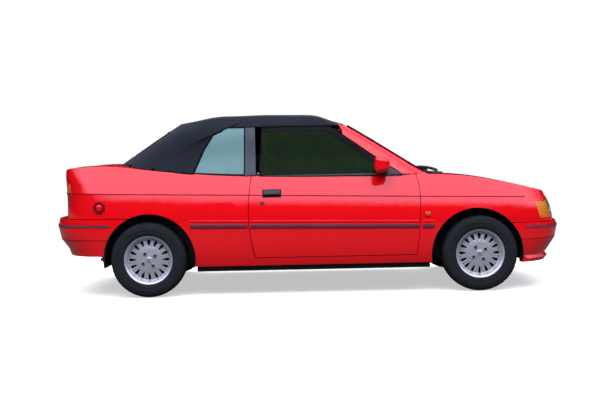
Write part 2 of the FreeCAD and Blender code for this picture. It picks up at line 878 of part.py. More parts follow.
def pane(zone, direction):
    """A sheet of glass: the curved face of the glass line inside a zone, made thick towards the cabin."""
    faces = [face for face in glass_outer.common(zone).Faces if "Plane" not in str(face.Surface)]
    face = max(faces, key=lambda face: face.Area)
    inward = direction.normalize() * s.glass_thickness
    return face.extrude(inward).common(zone).cut(body_top)


cabin_outer = greenhouse(0)
glass_outer = greenhouse(s.glass_inset)
cabin_inner = cabin_space(s.top_wall)


def header_zone(grow):
    """Everything ahead of the seam between the fabric top and the windscreen frame."""
    x, z = s.header_x + grow, s.header_height
    slope = 0.3 * s.header_x
    return side_prism([(x - slope, z + s.top_wall * 4), (x + slope, z - s.top_wall * 4),
                       (x + slope, 0), (far, 0), (far, z + s.top_wall * 4)])


def side_window(points, grow=0.0):
    """A window seen from the side, as a prism on the right."""
    corners = [Vector(x, -far, z) for x, z in points]
    wire = Part.makePolygon(corners + corners[:1])
    if grow:
        wire = wire.makeOffset2D(grow, 0)
    return Part.Face(wire).extrude(Vector(0, far, 0))


belt = s.belt_height
window_top = s.window_top
door_window = [
    (s.pillar_foot_x, belt - 3 * gap), (s.pillar_foot_x, belt), (s.pillar_middle_x, s.pillar_middle_height),
    (s.pillar_top_x, window_top), (s.hoop_front + 2 * s.glass_gap, window_top),
    (s.hoop_front + s.glass_gap, belt - 3 * gap),
]
pane_tail = s.hoop_rear - s.quarter_glass_length
quarter_window = [
    (s.hoop_rear, belt - 3 * gap), (s.hoop_rear, window_top),
    (s.hoop_rear - 0.36 * s.quarter_glass_length, window_top),
    (s.hoop_rear - 0.64 * s.quarter_glass_length, window_top - 0.13 * (window_top - belt)),
    (s.hoop_rear - 0.82 * s.quarter_glass_length, window_top - 0.43 * (window_top - belt)),
    (pane_tail, belt + 2 * s.top_wall), (pane_tail, belt - 3 * gap),
]

# Windscreen frame: everything ahead of the header seam, with the glass opening cut out
frame_zone = header_zone(0)
screen_opening = plan_prism([
    (s.door_front + far, -s.screen_half_bottom), (s.door_front, -s.screen_half_bottom),
    (s.header_x, -s.screen_half_top), (s.header_x, s.screen_half_top),
    (s.door_front, s.screen_half_bottom), (s.door_front + far, s.screen_half_bottom)
]).common(box(s.header_x + s.header_depth, far, -far, far, 0, far))
front_side_room = side_prism([
    (-far, 0), (s.pillar_foot_x + gap, 0), (s.pillar_foot_x + gap, belt),
    (s.pillar_middle_x + gap, s.pillar_middle_height + gap),
    (s.pillar_top_x + gap, window_top + gap), (-far, window_top + gap),
])
door_top_room = top_solid(-gap).common(box(-far, s.door_front + gap, -far, far, 0, far))
frame = cabin_outer.common(frame_zone).cut(door_top_room).cut(screen_opening)
frame = frame.cut(front_side_room).cut(body_top).cut(cabin_inner)
node("windscreen_frame", frame)
screen = pane(frame_zone.common(screen_opening), Vector(-0.5, 0, -0.85))
node("windscreen", screen)

# Roll hoop behind the doors
hoop_foot = s.hoop_rear + s.pillar_gap
hoop = cabin_outer.cut(door_top_room.common(box(hoop_foot, far, -far, far, 0, far))).common(side_window([
    (s.hoop_rear, 0), (hoop_foot, 0), (hoop_foot, belt + 2 * gap), (s.hoop_front, belt + 2 * gap),
    (s.hoop_front - 0.3 * s.glass_gap, window_top + gap), (s.hoop_rear, window_top + gap)
])).cut(body_top).cut(cabin_inner)
pair("roll_hoop", hoop)

# Fabric top
top = cabin_outer.cut(header_zone(0))
side_room = side_window([
    (far, 0), (s.hoop_rear - s.quarter_glass_length, 0),
    (s.hoop_rear - s.quarter_glass_length, belt + 2 * s.top_wall),
    (s.hoop_rear - 0.82 * s.quarter_glass_length, window_top - 0.43 * (window_top - belt)),
    (s.hoop_rear - 0.64 * s.quarter_glass_length, window_top - 0.13 * (window_top - belt)),
    (s.hoop_rear - 0.36 * s.quarter_glass_length, window_top + gap), (far, window_top + gap),
])
rear_opening = box(-far, s.header_x - s.roof_length, -s.rear_glass_half_width, s.rear_glass_half_width,
                   s.rear_glass_bottom, s.rear_glass_top)
top = top.cut(side_room).cut(mirrored(side_room)).cut(rear_opening).cut(body_top).cut(cabin_inner)
node("soft_top", top)

# Glass
door_glass = pane(side_window(door_window), Vector(0, 1, -0.2))
node("door_glass_right", door_glass)
node("door_glass_left", mirrored(door_glass))
quarter_glass = pane(side_window(quarter_window), Vector(0, 1, -0.2))
pair("quarter_windows", quarter_glass)
rear_glass = pane(rear_opening, Vector(0.5, 0, -0.85))
node("rear_window", rear_glass)

# Wheels, turned about an axle along Y and moved to their places
TYRE_SHARES = [(0.000, 0.805), (0.450, 1.000), (0.900, 0.850), (1.000, 0.600)]
SLOT_SHARES = [(-0.25, -0.50), (0.25, -0.50), (0.50, 0.25), (0.30, 0.50), (-0.30, 0.50), (-0.50, 0.25)]


def turned(profile):
    """A solid of revolution about the Y axis from (radius, y) places."""
    corners = [Vector(radius, y, 0) for radius, y in profile]
    face = Part.Face(Part.makePolygon(corners + corners[:1]))
    return face.revolve(Vector(0, 0, 0), Vector(0, 1, 0), 360)


side_height = s.tyre_radius - s.bead_radius
half_tyre = s.tyre_width / 2
tyre_side = [(s.bead_radius + rise * side_height, width * half_tyre) for rise, width in TYRE_SHARES]
tyre = turned([(r, -y) for r, y in tyre_side] + tyre_side[::-1])

half_rim = s.rim_width / 2
bead_seat = TYRE_SHARES[0][1] * half_tyre
barrel = turned([
    (s.bead_radius - s.barrel_wall, half_rim),
    (s.rim_radius, half_rim),
    (s.bead_radius, bead_seat),
    (s.bead_radius, -bead_seat),
    (s.rim_radius, -half_rim),
    (s.bead_radius - s.barrel_wall, -half_rim),
])
face_out = s.face_offset
face_in = face_out - s.face_thickness
hub_radius = s.hub_bore + 2 * s.face_thickness
wheel_face = turned([
    (0, -face_out), (s.face_radius, -face_out), (s.bead_radius, -half_rim),
    (s.bead_radius, -half_rim + s.barrel_wall), (s.face_radius, -face_in), (0, -face_in)
])
disc_front = s.hub_reach - s.disc_thickness
hub = turned([
    (s.hub_bore, -face_in), (hub_radius, -face_in), (hub_radius, disc_front), (s.disc_radius, disc_front),
    (s.disc_radius, s.hub_reach), (s.hub_bore, s.hub_reach)
])


def slot(number):
    """One of the drop-shaped slots of the wheel's face, wider at its outer end."""
    outline = [(x * s.slot_width, z * s.slot_length) for x, z in SLOT_SHARES]
    prism = side_prism(outline, -half_rim, half_rim)
    prism.translate(Vector(0, 0, s.slot_middle))
    prism.rotate(Vector(0, 0, 0), Vector(0, 1, 0), 360 * number / s.slot_count)
    return prism


def nut_pocket(number):
    turn = math.radians(360 * (number + 0.5) / s.nut_count)
    x, z = s.nut_circle / 2 * math.sin(turn), s.nut_circle / 2 * math.cos(turn)
    return across(s.nut_pocket_radius, x, z, -half_rim, -face_out + s.face_thickness / 2)


holes = [slot(k) for k in range(int(s.slot_count))] + [nut_pocket(k) for k in range(int(s.nut_count))]
rim = barrel.fuse(wheel_face.cut(holes)).fuse(hub)
WHEELS = {
    "front_right": (front_axle, -s.front_track / 2),
    "front_left": (front_axle, s.front_track / 2),
    "rear_right": (rear_axle, -s.rear_track / 2),
    "rear_left": (rear_axle, s.rear_track / 2),
}
for place, (x, y) in WHEELS.items():
    for name, piece in (("tyre", tyre), ("rim", rim)):
        shape = piece.copy() if y < 0 else mirrored(piece)
        shape.translate(Vector(x, y, s.tyre_radius))
        node(f"{name}_{place}", shape)

# The same places as formulas of the spreadsheet's cells
FRONT_AXLE = "(overall_length / 2 - front_overhang)"
REAR_AXLE = "(overall_length / 2 - front_overhang - wheelbase)"
FACE_IN = "(face_offset - face_thickness)"
POST_BOTTOM = "(tyre_radius - knuckle_reach - bearing_gap)"
PIPE_HEIGHT = "(sill_bottom - pipe_drop)"

# Front suspension: knuckles turn on the steering axis between a lower arm and an upper link
post = bound("Cylinder", "knuckle_post", (FRONT_AXLE, "-steer_axis_half", "tyre_radius - knuckle_reach"),
             Radius="knuckle_radius", Height="2 * knuckle_reach")
stub_place = (FRONT_AXLE, f"-front_track / 2 - {FACE_IN}", "tyre_radius")
stub = bound("Cylinder", "knuckle_stub", stub_place, ALONG_Y,
             Radius="hub_bore - bearing_gap", Height=f"front_track / 2 + {FACE_IN} - steer_axis_half")
nodes["knuckle_right"] = joined("knuckle_right", [post, stub])
nodes["knuckle_left"] = reflected("knuckle_left", nodes["knuckle_right"])

axle_height = s.tyre_radius
steer_y = -s.steer_axis_half
arm_width = 2 * s.knuckle_radius
arm_thickness = s.knuckle_radius
post_bottom = axle_height - s.knuckle_reach - s.bearing_gap
post_top = axle_height + s.knuckle_reach + s.bearing_gap
plate_out = s.inner_wing_half + s.liner_wall
low_arm_heights = (post_bottom - arm_thickness, post_bottom)
subframe = box(front_axle - 2.5 * arm_width, front_axle + 2.5 * arm_width, -plate_out, plate_out,
               *low_arm_heights)



def arm_eye(bottom):
    """The round end of an arm about the steering axis, small enough for the brake disc to swing past."""
    return Part.makeCylinder(s.knuckle_radius, arm_thickness, Vector(front_axle, steer_y, bottom))


arm_end = steer_y + s.knuckle_radius / 2
lower_arm = box(front_axle - arm_width, front_axle + arm_width, arm_end, -plate_out / 2, *low_arm_heights)
lower_arm = lower_arm.fuse(arm_eye(low_arm_heights[0]))
leg = box(front_axle + 1.5 * arm_width, front_axle + 2.5 * arm_width, -plate_out,
          -s.inner_wing_half + s.knuckle_radius, post_bottom - arm_thickness, s.sill_bottom)
subframe = subframe.fuse([leg, mirrored(leg), lower_arm, mirrored(lower_arm)])
upper_link = box(front_axle - arm_width, front_axle + arm_width, arm_end,
                 s.front_well_depth - s.half_width - s.liner_wall, post_top, post_top + arm_thickness)
upper_link = upper_link.fuse(arm_eye(post_top))
spring_foot = Vector(front_axle, -s.spring_half, post_top + arm_thickness / 2)
spring = Part.makeCylinder(s.spring_radius, far, spring_foot)
front_arch_x = front_axle + s.front_arch_shift
front_liner_wall = s.liner_wall / 2
spring = spring.common(across(s.front_arch_radius - front_liner_wall, front_arch_x, axle_height))
upper = upper_link.fuse(spring)
node("front_suspension", Part.makeCompound(subframe.Solids + solids_of(upper) + solids_of(mirrored(upper))))

shaft_place = (FRONT_AXLE, "2 * knuckle_radius - steer_axis_half", "tyre_radius")
shaft = bound("Cylinder", "shaft_right", shaft_place, ALONG_Y,
              Radius="shaft_radius", Height="steer_axis_half - inner_wing_half - liner_wall")
nodes["drive_shafts"] = grouped("drive_shafts", [shaft, reflected("shaft_left", shaft)])


# Wheel liners: pans inside the arches; the front ones are thinner, to clear the steered tyres
def liner(axle, shift, radius, depth, wall):
    """A pan inside an arch, with a curved wall of the given thickness."""
    inner = s.half_width - depth
    outer = s.half_width - s.wing_thickness
    pan = across(radius, axle + shift, axle_height, -outer, -inner)
    pan = pan.cut(across(radius - wall, axle + shift, axle_height, -far, -inner - s.liner_wall))
    return pan.common(box(-far, far, -far, 0, s.sill_bottom, far))


front_liner = liner(front_axle, s.front_arch_shift, s.front_arch_radius, s.front_well_depth,
                    front_liner_wall)
arm_room = box(front_axle - 1.5 * arm_width, front_axle + 1.5 * arm_width, -far, far, 0, post_top)
rear_liner = liner(rear_axle, s.rear_arch_shift, s.rear_arch_radius, s.rear_well_depth, s.liner_wall)
rear_arm_room = box(rear_axle - 1.5 * arm_width, rear_axle + 1.5 * arm_width, -far, far,
                    0, axle_height + arm_width)
right_liners = front_liner.cut(arm_room).Solids + rear_liner.cut(rear_arm_room).Solids
node("wheel_liners", Part.makeCompound(right_liners + [mirrored(solid) for solid in right_liners]))

# Floor, bulkheads and boot floor
wall = s.floor_wall
floor_top = s.sill_bottom + wall
bulkhead_x = s.bulkhead_x
seat_wall_x = -s.seat_wall_x
boot_half = s.half_width - s.rear_well_depth
boot_top = s.boot_floor_height + wall
floor = box(seat_wall_x, bulkhead_x + wall, -s.floor_half_width, s.floor_half_width, s.sill_bottom, floor_top)
tunnel = box(seat_wall_x, bulkhead_x, -s.tunnel_half, s.tunnel_half, s.sill_bottom, s.tunnel_top)
tunnel_room = box(-far, far, wall - s.tunnel_half, s.tunnel_half - wall, 0, s.tunnel_top - wall)
floor = floor.fuse(tunnel).cut(tunnel_room).cut(wheel_wells)
boot_back = -REAR_BUMPER_SHARES[0][2] * half_length
boot_floor = box(boot_back, seat_wall_x + wall, -boot_half, boot_half, s.boot_floor_height, boot_top)
seat_wall = box(seat_wall_x, seat_wall_x + wall, -boot_half, boot_half, s.sill_bottom, boot_top)
flange = box(rear_axle + s.rear_arch_radius + 3 * gap, front_axle - s.front_arch_radius - 6 * gap,
             -s.floor_half_width - 5 * wall, wall - s.floor_half_width, s.flange_bottom, s.sill_bottom)
floor = floor.fuse([seat_wall, boot_floor.common(rear_bumper_room), flange, mirrored(flange)])
node("floor_pan", floor)
bulkhead = box(bulkhead_x, bulkhead_x + wall, -scuttle_inner, scuttle_inner, s.sill_bottom, far)
bulkhead = bulkhead.common(lid_hollow).cut(wheel_wells)
nose_room = front_bumper_room.fuse(box(0, s.indicator_back, -far, far, 0, far))
inner_wing = box(bulkhead_x + wall, half_length, -plate_out, -s.inner_wing_half,
                 s.sill_bottom, s.inner_wing_top)
inner_wing = inner_wing.cut(arm_room).common(nose_room)
front_frame = bulkhead.fuse([inner_wing, mirrored(inner_wing)])
front_frame = front_frame.cut(box(-far, bulkhead_x + wall, -far, -s.floor_half_width, 0, floor_top))
front_frame = front_frame.cut(floor)
node("front_frame", front_frame)
well_back_x = -well_tail - 2 * wall
well = box(well_back_x, well_back_x + s.well_length, -far, far, s.well_height, s.well_height + wall)
well_back = box(well_back_x, well_back_x + wall, -s.lid_half_width, s.lid_half_width, s.well_height, far)
node("top_well", well.fuse(well_back).common(quarter_hollow))

# Rear axle: two trailing arms on a cross tube, each with a stub and a spring
arm = bound("Box", "rear_arm", (f"{REAR_AXLE} - 2 * knuckle_radius", "-rear_arm_half - knuckle_radius",
                                "tyre_radius - 2 * knuckle_radius"),
            Length="rear_arm_length + 2 * knuckle_radius", Width="2 * knuckle_radius",
            Height="3 * knuckle_radius")
rear_stub_place = (REAR_AXLE, f"-rear_track / 2 - {FACE_IN}", "tyre_radius")
rear_stub = bound("Cylinder", "rear_stub", rear_stub_place, ALONG_Y,
                  Radius="hub_bore - bearing_gap", Height=f"rear_track / 2 + {FACE_IN} - rear_arm_half")
rear_spring = bound("Cylinder", "rear_spring", (f"{REAR_AXLE} + 2 * knuckle_radius",
                                                "2 * knuckle_radius - rear_arm_half", "tyre_radius"),
                    Radius="spring_radius", Height="boot_floor_height - tyre_radius")
cross_tube = bound("Cylinder", "cross_tube", (f"{REAR_AXLE} + rear_arm_length - 2 * knuckle_radius",
                                              "-rear_arm_half", "tyre_radius - knuckle_radius"), ALONG_Y,
                   Radius="knuckle_radius", Height="2 * rear_arm_half")
right_arm = joined("rear_arm_right", [arm, rear_stub, rear_spring])
nodes["rear_axle"] = joined("rear_axle", [right_arm, reflected("rear_arm_left", right_arm), cross_tube])

# Engine as one plain block, exhaust and tank
nodes["engine"] = bound(
    "Box", "engine",
    (f"{FRONT_AXLE} - engine_length / 2", "2 * knuckle_radius - inner_wing_half - liner_wall", POST_BOTTOM),
    Length="engine_length", Width="2 * (inner_wing_half + liner_wall - 2 * knuckle_radius)",
    Height=f"engine_top - {POST_BOTTOM}")
pipe = bound("Cylinder", "pipe", ("-pipe_back", "pipe_side", PIPE_HEIGHT), ALONG_X,
             Radius="pipe_radius", Height="pipe_length")
silencer_place = ("-pipe_back - silencer_length", "pipe_side", f"{PIPE_HEIGHT} + pipe_radius")
silencer = bound("Cylinder", "silencer", silencer_place, ALONG_X,
                 Radius="silencer_radius", Height="silencer_length")
rear_hanger = bound("Box", "rear_hanger", ("-pipe_back - silencer_length / 2", "pipe_side - pipe_radius",
                                           f"{PIPE_HEIGHT} + pipe_radius"),
                    Length="floor_wall", Width="2 * pipe_radius",
                    Height=f"boot_floor_height - {PIPE_HEIGHT} - pipe_radius")
hanger_place = ("pipe_length - pipe_back - 2 * floor_wall", "pipe_side - pipe_radius", PIPE_HEIGHT)
front_hanger = bound("Box", "front_hanger", hanger_place,
                     Length="floor_wall", Width="2 * pipe_radius", Height=f"sill_bottom - {PIPE_HEIGHT}")
nodes["exhaust"] = joined("exhaust", [pipe, silencer, rear_hanger, front_hanger])
nodes["fuel_tank"] = bound(
    "Box", "fuel_tank", ("floor_wall - seat_wall_x", "-tank_half", "flange_bottom"),
    Length="tank_length - floor_wall", Width="pipe_side - 2 * pipe_radius + 3 * tank_half / 4",
    Height="sill_bottom - flange_bottom")

# Dashboard with the steering column
dash_half = door_inner - 4 * gap
dash = side_prism([
    (s.dash_back, s.dash_bottom), (bulkhead_x, s.dash_bottom), (bulkhead_x, s.dash_top - 2 * wall),
    (s.dash_back + s.dash_depth / 2, s.dash_top), (s.dash_back + s.dash_depth / 8, s.dash_top - wall),
    (s.dash_back, s.dash_top - 5 * wall),
], -dash_half, dash_half)
dash = dash.common(wing_hollow)
tilt = math.radians(s.column_angle)
column_axis = Vector(-math.cos(tilt), 0, math.sin(tilt))
wheel_centre = Vector(s.steering_x, -s.driver_half, s.steering_z)
column_foot = wheel_centre - column_axis * (s.column_length + s.steering_hub)
column = Part.makeCylinder(s.column_radius, s.column_length, column_foot, column_axis)
node("dashboard", dash.cut([hinge_room, mirrored(hinge_room)]).fuse(column))

# Console with the gear lever
console_box = bound("Box", "console_box", ("console_back", "-console_half", "tunnel_top"),
                    Length="dash_back + dash_depth / 2 - console_back", Width="2 * console_half",
                    Height="console_top - tunnel_top")
lever = bound("Cylinder", "lever", ("lever_x", "0", "console_top - floor_wall"),
              Radius="floor_wall", Height="lever_length")
knob = bound("Cylinder", "knob", ("lever_x", "0", "console_top + lever_length - 3 * floor_wall"),
             Radius="2 * floor_wall", Height="4 * floor_wall")
nodes["console"] = joined("console", [console_box, lever, knob])

# Steering wheel, made flat and turned with the column
across_ring = Rotation(Vector(1, 0, 0), 90)
ring_section = bound("RegularPolygon", "ring_section", ("steering_radius", "0", "0"), across_ring,
                     Circumradius="steering_rim")
ring_section.Polygon = 6
ring = doc.addObject("Part::Revolution", "ring")
ring.Source, ring.Axis, ring.Solid = ring_section, Vector(0, 0, 1), True
boss = bound("Cylinder", "boss", ("0", "0", "bearing_gap - steering_hub"),
             Radius="3.2 * steering_rim", Height="steering_hub")
spokes = []
for number, turn in enumerate((90, 270, 0)):
    spoke = bound("Box", f"spoke_bar_{number}", ("0", "-1.2 * steering_rim", "-0.7 * steering_rim"),
                  Length="steering_radius", Width="2.4 * steering_rim", Height="steering_rim")
    held = grouped(f"spoke_{number}", [spoke])
    held.Placement = Placement(Vector(), Rotation(Vector(0, 0, 1), turn))
    spokes.append(held)
steering = joined("steering_wheel", [ring, boss, *spokes])
steering.Placement = Placement(Vector(), Rotation(Vector(0, 1, 0), s.column_angle - 90))
for path, formula in (("x", "steering_x"), ("y", "-driver_half"), ("z", "steering_z")):
    steering.setExpression(f"Placement.Base.{path}", re.sub(r"[a-z]\w*", r"sizes.\g<0>", formula))
nodes["steering_wheel"] = steering


# Seats
def cushion(profile, y0, y1):
    """A plain padded block with bevelled edges; its cover and fullness are left to the visual model."""
    block = side_prism(profile, y0, y1)
    return block.makeChamfer(s.seat_round, block.Edges)


seat_y0, seat_y1 = -s.driver_half - s.seat_half, s.seat_half - s.driver_half
seat_back_x = s.seat_front - s.seat_depth
lean, pad, bevel = s.backrest_lean, s.seat_pad, s.seat_round
base = cushion([
    (seat_back_x, s.seat_bottom), (s.seat_front, s.seat_bottom + bevel / 2),
    (s.seat_front, s.seat_top + bevel / 2), (seat_back_x, s.seat_top)
], seat_y0, seat_y1)
backrest = cushion([
    (seat_back_x - pad / 2, s.seat_top - bevel), (seat_back_x + pad, s.seat_top - bevel),
    (seat_back_x + pad - lean, s.backrest_top), (seat_back_x - lean, s.backrest_top)
], seat_y0, seat_y1)
headrest = cushion([
    (seat_back_x - lean, s.backrest_top - bevel / 3), (seat_back_x - lean + pad, s.backrest_top - bevel / 3),
    (seat_back_x - 1.4 * lean + pad, s.headrest_top), (seat_back_x - 1.4 * lean, s.headrest_top)
], seat_y0 + 1.4 * pad, seat_y1 - 1.4 * pad)
runner = box(seat_back_x + bevel, s.seat_front - bevel, seat_y0 + bevel, seat_y1 - bevel, floor_top,
             s.seat_bottom + bevel)
pair("front_seats", base.fuse([backrest, headrest, runner]))
bench_back = seat_wall_x + wall
rear_base = cushion([
    (bench_back, s.seat_bottom), (s.rear_seat_front, s.seat_bottom),
    (s.rear_seat_front, s.seat_top), (bench_back, s.seat_top - bevel)
], -s.rear_seat_half, s.rear_seat_half)
rear_back = cushion([
    (bench_back, s.seat_bottom), (seat_wall_x + 2.5 * pad, s.seat_bottom),
    (seat_wall_x + pad + 2 * wall, s.well_height - wall), (bench_back, s.well_height - wall)
], -s.rear_seat_half, s.rear_seat_half)
plinth_half = s.rear_seat_half - bevel
plinth = box(bench_back, s.rear_seat_front - bevel, -plinth_half, plinth_half,
             floor_top, s.seat_bottom + bevel)
rear_seat = rear_base.fuse([rear_back, plinth]).cut(floor)
rear_seat = rear_seat.cut(box(-far, far, -s.tunnel_half, s.tunnel_half, 0, s.tunnel_top))
node("rear_seat", max(rear_seat.Solids, key=lambda solid: solid.Volume))

# Door mirrors on their triangles
half_mirror = s.mirror_depth / 2
shell = box(s.mirror_x - half_mirror, s.mirror_x + half_mirror, -s.mirror_out, -s.mirror_in,
            s.mirror_bottom, s.mirror_top)
shell = shell.makeChamfer(s.mirror_depth / 4, shell.Edges)
sail_top_x, sail_top = s.mirror_x + 1.2 * half_mirror, s.mirror_bottom + 0.8 * half_mirror
foot = box(s.mirror_x - half_mirror / 2, sail_top_x - gap, -s.mirror_in - half_mirror,
           s.mirror_foot - s.mirror_in, s.mirror_bottom + wall, sail_top - gap)
sail = side_window([
    (s.pillar_foot_x, belt - 3 * gap), (s.pillar_foot_x, belt), (sail_top_x, sail_top),
    (s.mirror_x + 0.6 * half_mirror, belt - 3 * gap)
])
sail_plate = cabin_outer.common(sail).cut(glass_outer).cut(body_top)
mirror = shell.fuse(foot).cut(glass_outer).fuse(sail_plate)
node("door_mirror_right", mirror)
node("door_mirror_left", mirrored(mirror))

# Every object is checked before any file is written
doc.recompute()
for part in doc.Objects:
    if "Invalid" in part.State or "Error" in part.State:
        raise RuntimeError(f"{part.Label} was not computed: {part.State}")
for name, part in nodes.items():
    if part.Shape.isNull() or not part.Shape.isValid() or not part.Shape.Solids:
        raise RuntimeError(f"{name} is not a valid solid")
os.makedirs("parts", exist_ok=True)
for name, part in nodes.items():
    part.Shape.exportStep(f"parts/{name}.step")
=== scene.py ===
# %% [markdown]
# # A two-door convertible car with its fabric top up
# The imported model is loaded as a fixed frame, in metres: +X to the nose, +Y to the car's left, +Z up.
# Every new piece is fitted to that frame and rides on one of its bodies. The panels keep their solids
# and get real finishes. Wheels, lamps' insides, trim, the fabric top and the seats are modelled here.

# %% Load the frame
import bpy, bmesh, json, math
from mathutils import Matrix, Vector

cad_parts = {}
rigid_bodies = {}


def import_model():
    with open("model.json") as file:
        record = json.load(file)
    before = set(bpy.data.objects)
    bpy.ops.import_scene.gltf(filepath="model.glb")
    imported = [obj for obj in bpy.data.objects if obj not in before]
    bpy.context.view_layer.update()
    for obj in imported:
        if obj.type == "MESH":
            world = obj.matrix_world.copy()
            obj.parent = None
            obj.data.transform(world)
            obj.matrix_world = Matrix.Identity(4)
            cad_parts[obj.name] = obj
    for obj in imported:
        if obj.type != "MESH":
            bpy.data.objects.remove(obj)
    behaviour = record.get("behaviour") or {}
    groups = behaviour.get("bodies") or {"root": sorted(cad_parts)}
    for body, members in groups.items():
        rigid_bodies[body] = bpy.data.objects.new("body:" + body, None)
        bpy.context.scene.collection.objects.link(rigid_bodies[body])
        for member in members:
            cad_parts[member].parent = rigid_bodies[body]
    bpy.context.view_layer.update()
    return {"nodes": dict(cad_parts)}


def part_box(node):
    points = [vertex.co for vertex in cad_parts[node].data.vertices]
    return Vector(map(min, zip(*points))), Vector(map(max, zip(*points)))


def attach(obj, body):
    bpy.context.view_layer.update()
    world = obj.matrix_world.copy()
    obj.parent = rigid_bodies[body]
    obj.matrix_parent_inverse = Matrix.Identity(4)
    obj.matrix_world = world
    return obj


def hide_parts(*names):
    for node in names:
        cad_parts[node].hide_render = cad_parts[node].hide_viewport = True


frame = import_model()
nodes = frame["nodes"]
scene = bpy.context.scene
scene.view_settings.view_transform = "Standard"

# %% [markdown]
# ## The camera
# The photograph was taken level with the side of the car from about six and a half metres. The two rim
# centres fix the place of the lens along the car and its small roll, the horizon fixes its tilt, and the
# wheelbase in the picture fixes its focal length.

# %% Camera
PHOTO_WIDTH = 600
FOCAL_PIXELS = 858
HORIZON_ABOVE_MIDDLE = 36.6
ROLL = math.radians(1.18)
CAMERA_PLACE = (-0.059, -7.30, 1.0)

camera_data = bpy.data.cameras.new("photo_camera")
camera_data.sensor_width = 36.0
camera_data.lens = FOCAL_PIXELS / PHOTO_WIDTH * camera_data.sensor_width
camera_data.clip_end = 200.0
camera = bpy.data.objects.new("photo_camera", camera_data)
scene.collection.objects.link(camera)
pitch = math.pi / 2 - math.atan(HORIZON_ABOVE_MIDDLE / FOCAL_PIXELS)
camera.matrix_world = (
    Matrix.Translation(CAMERA_PLACE) @ Matrix.Rotation(pitch, 4, "X") @ Matrix.Rotation(-ROLL, 4, "Z")
)
scene.camera = camera
print("lens", round(camera_data.lens, 2), "mm")

# %% [markdown]
# ## Colours and shader nodes
# Colours are written as sRGB hex values, as a colour picker shows them, and turned to linear light. One
# small function adds a shader node with its settings and its links. Another makes a whole finish: the
# main shader, a fine grain that makes the surface uneven, and slow changes of colour such as dust, which
# on the door glass and the rear side panes are painted reflection.


# %% Colour and node helpers
def linear(hex_colour):
    """The linear colour of an sRGB hex value."""
    channels = [int(hex_colour[i:i + 2], 16) / 255 for i in (0, 2, 4)]
    return [c / 12.92 if c <= 0.04045 else ((c + 0.055) / 1.055) ** 2.4 for c in channels] + [1.0]


def add(tree, kind, settings=None, links=None):
    """Adds a node, sets its properties or inputs, and links other nodes' outputs into it."""
    node = tree.nodes.new("ShaderNode" + kind)
    for name, value in (settings or {}).items():
        if isinstance(name, int) or name in node.inputs:
            node.inputs[name].default_value = value
        else:
            setattr(node, name, value)
    for name, socket in (links or {}).items():
        tree.links.new(socket, node.inputs[name])
    return node


def finish_of(name, colour, roughness, grain=None, mottle=None, **shader):
    """A new material. Grain is a width in mm and a strength, mottle a width in mm and two colours."""
    material = bpy.data.materials.new(name)
    material.use_nodes = True
    tree = material.node_tree
    main = tree.nodes["Principled BSDF"]
    shader = {"Base_Color": linear(colour), "Roughness": roughness, **shader}
    for key, value in shader.items():
        main.inputs[key.replace("_", " ")].default_value = value
    if grain or mottle:
        place = add(tree, "TexCoord").outputs["Object"]
    if grain:
        width, strength = grain
        pits = add(tree, "TexNoise", {"Scale": 1000 / width, "Detail": 2.0}, {"Vector": place})
        bump = add(tree, "Bump", {"Strength": strength, "Distance": width / 4000},
                   {"Height": pits.outputs["Fac"]})
        tree.links.new(bump.outputs["Normal"], main.inputs["Normal"])
    if mottle:
        width, low, high = mottle
        dust_and_painted_reflection = add(tree, "TexNoise", {"Scale": 1000 / width, "Detail": 4.0}, {"Vector": place})
        mix = add(tree, "Mix", {"data_type": "RGBA", 6: linear(low), 7: linear(high)},
                  {"Factor": dust_and_painted_reflection.outputs["Fac"]})
        tree.links.new(mix.outputs[2], main.inputs["Base Color"])
    return material


print("node helpers ready")

# %% [markdown]
# ## Floor, light and background
# The photograph is cut out on white, so camera rays see white behind and a pale floor that keeps a soft
# shadow and fades to plain white further out. Three long softboxes light the car without being mirrored.
# The sky dome gives the bright band that the upper panels mirror. It is dark towards the horizon, as
# outdoors, so the lower panels stay a deep red.

# %% Floor
# The floor's width and how far out it starts to fade and is plain white, in metres, and its glow's strength
FLOOR_SIZE, FADE_FROM, FADE_TO, FLOOR_GLOW = 60, 2.6, 5.0, 0.52


def fresh():
    """Nothing selected, in object mode."""
    if bpy.context.object and bpy.context.object.mode != "OBJECT":
        bpy.ops.object.mode_set(mode="OBJECT")
    bpy.ops.object.select_all(action="DESELECT")


fresh()
bpy.ops.mesh.primitive_plane_add(size=FLOOR_SIZE, location=(0, 0, 0))
floor = bpy.context.object
floor.name = "floor"
paper = finish_of("matt_studio_paper", "434343", 0.95)
tree = paper.node_tree
path = add(tree, "LightPath")
white = add(tree, "BsdfDiffuse", {"Color": linear("c8c8c8")})
glow = add(tree, "Emission", {"Color": linear("ffffff"), "Strength": FLOOR_GLOW})
lit = add(tree, "AddShader", None, {0: white.outputs[0], 1: glow.outputs[0]})
place = add(tree, "TexCoord")
reach = add(tree, "VectorMath", {"operation": "LENGTH"}, {0: place.outputs["Object"]})
far = add(tree, "MapRange", {"From Min": FADE_FROM, "From Max": FADE_TO}, {"Value": reach.outputs["Value"]})
plain = add(tree, "Emission", {"Color": linear("ffffff"), "Strength": 1.0})
faded = add(tree, "MixShader", None, {0: far.outputs[0], 1: lit.outputs[0], 2: plain.outputs[0]})
choice = add(tree, "MixShader", None, {
    0: path.outputs["Is Camera Ray"], 1: tree.nodes["Principled BSDF"].outputs[0], 2: faded.outputs[0]})
tree.links.new(choice.outputs[0], tree.nodes["Material Output"].inputs["Surface"])
floor.data.materials.append(paper)
print("floor plain white from", FADE_TO, "m out")

# %% Sky
# The sky's strength as a light and in mirrors, its share on the far side and where the sides blend
SKY_FOR_LIGHT, SKY_FOR_MIRRORS, FAR_SIDE, SIDE_BLEND = 0.8, 3.4, 0.22, 0.3
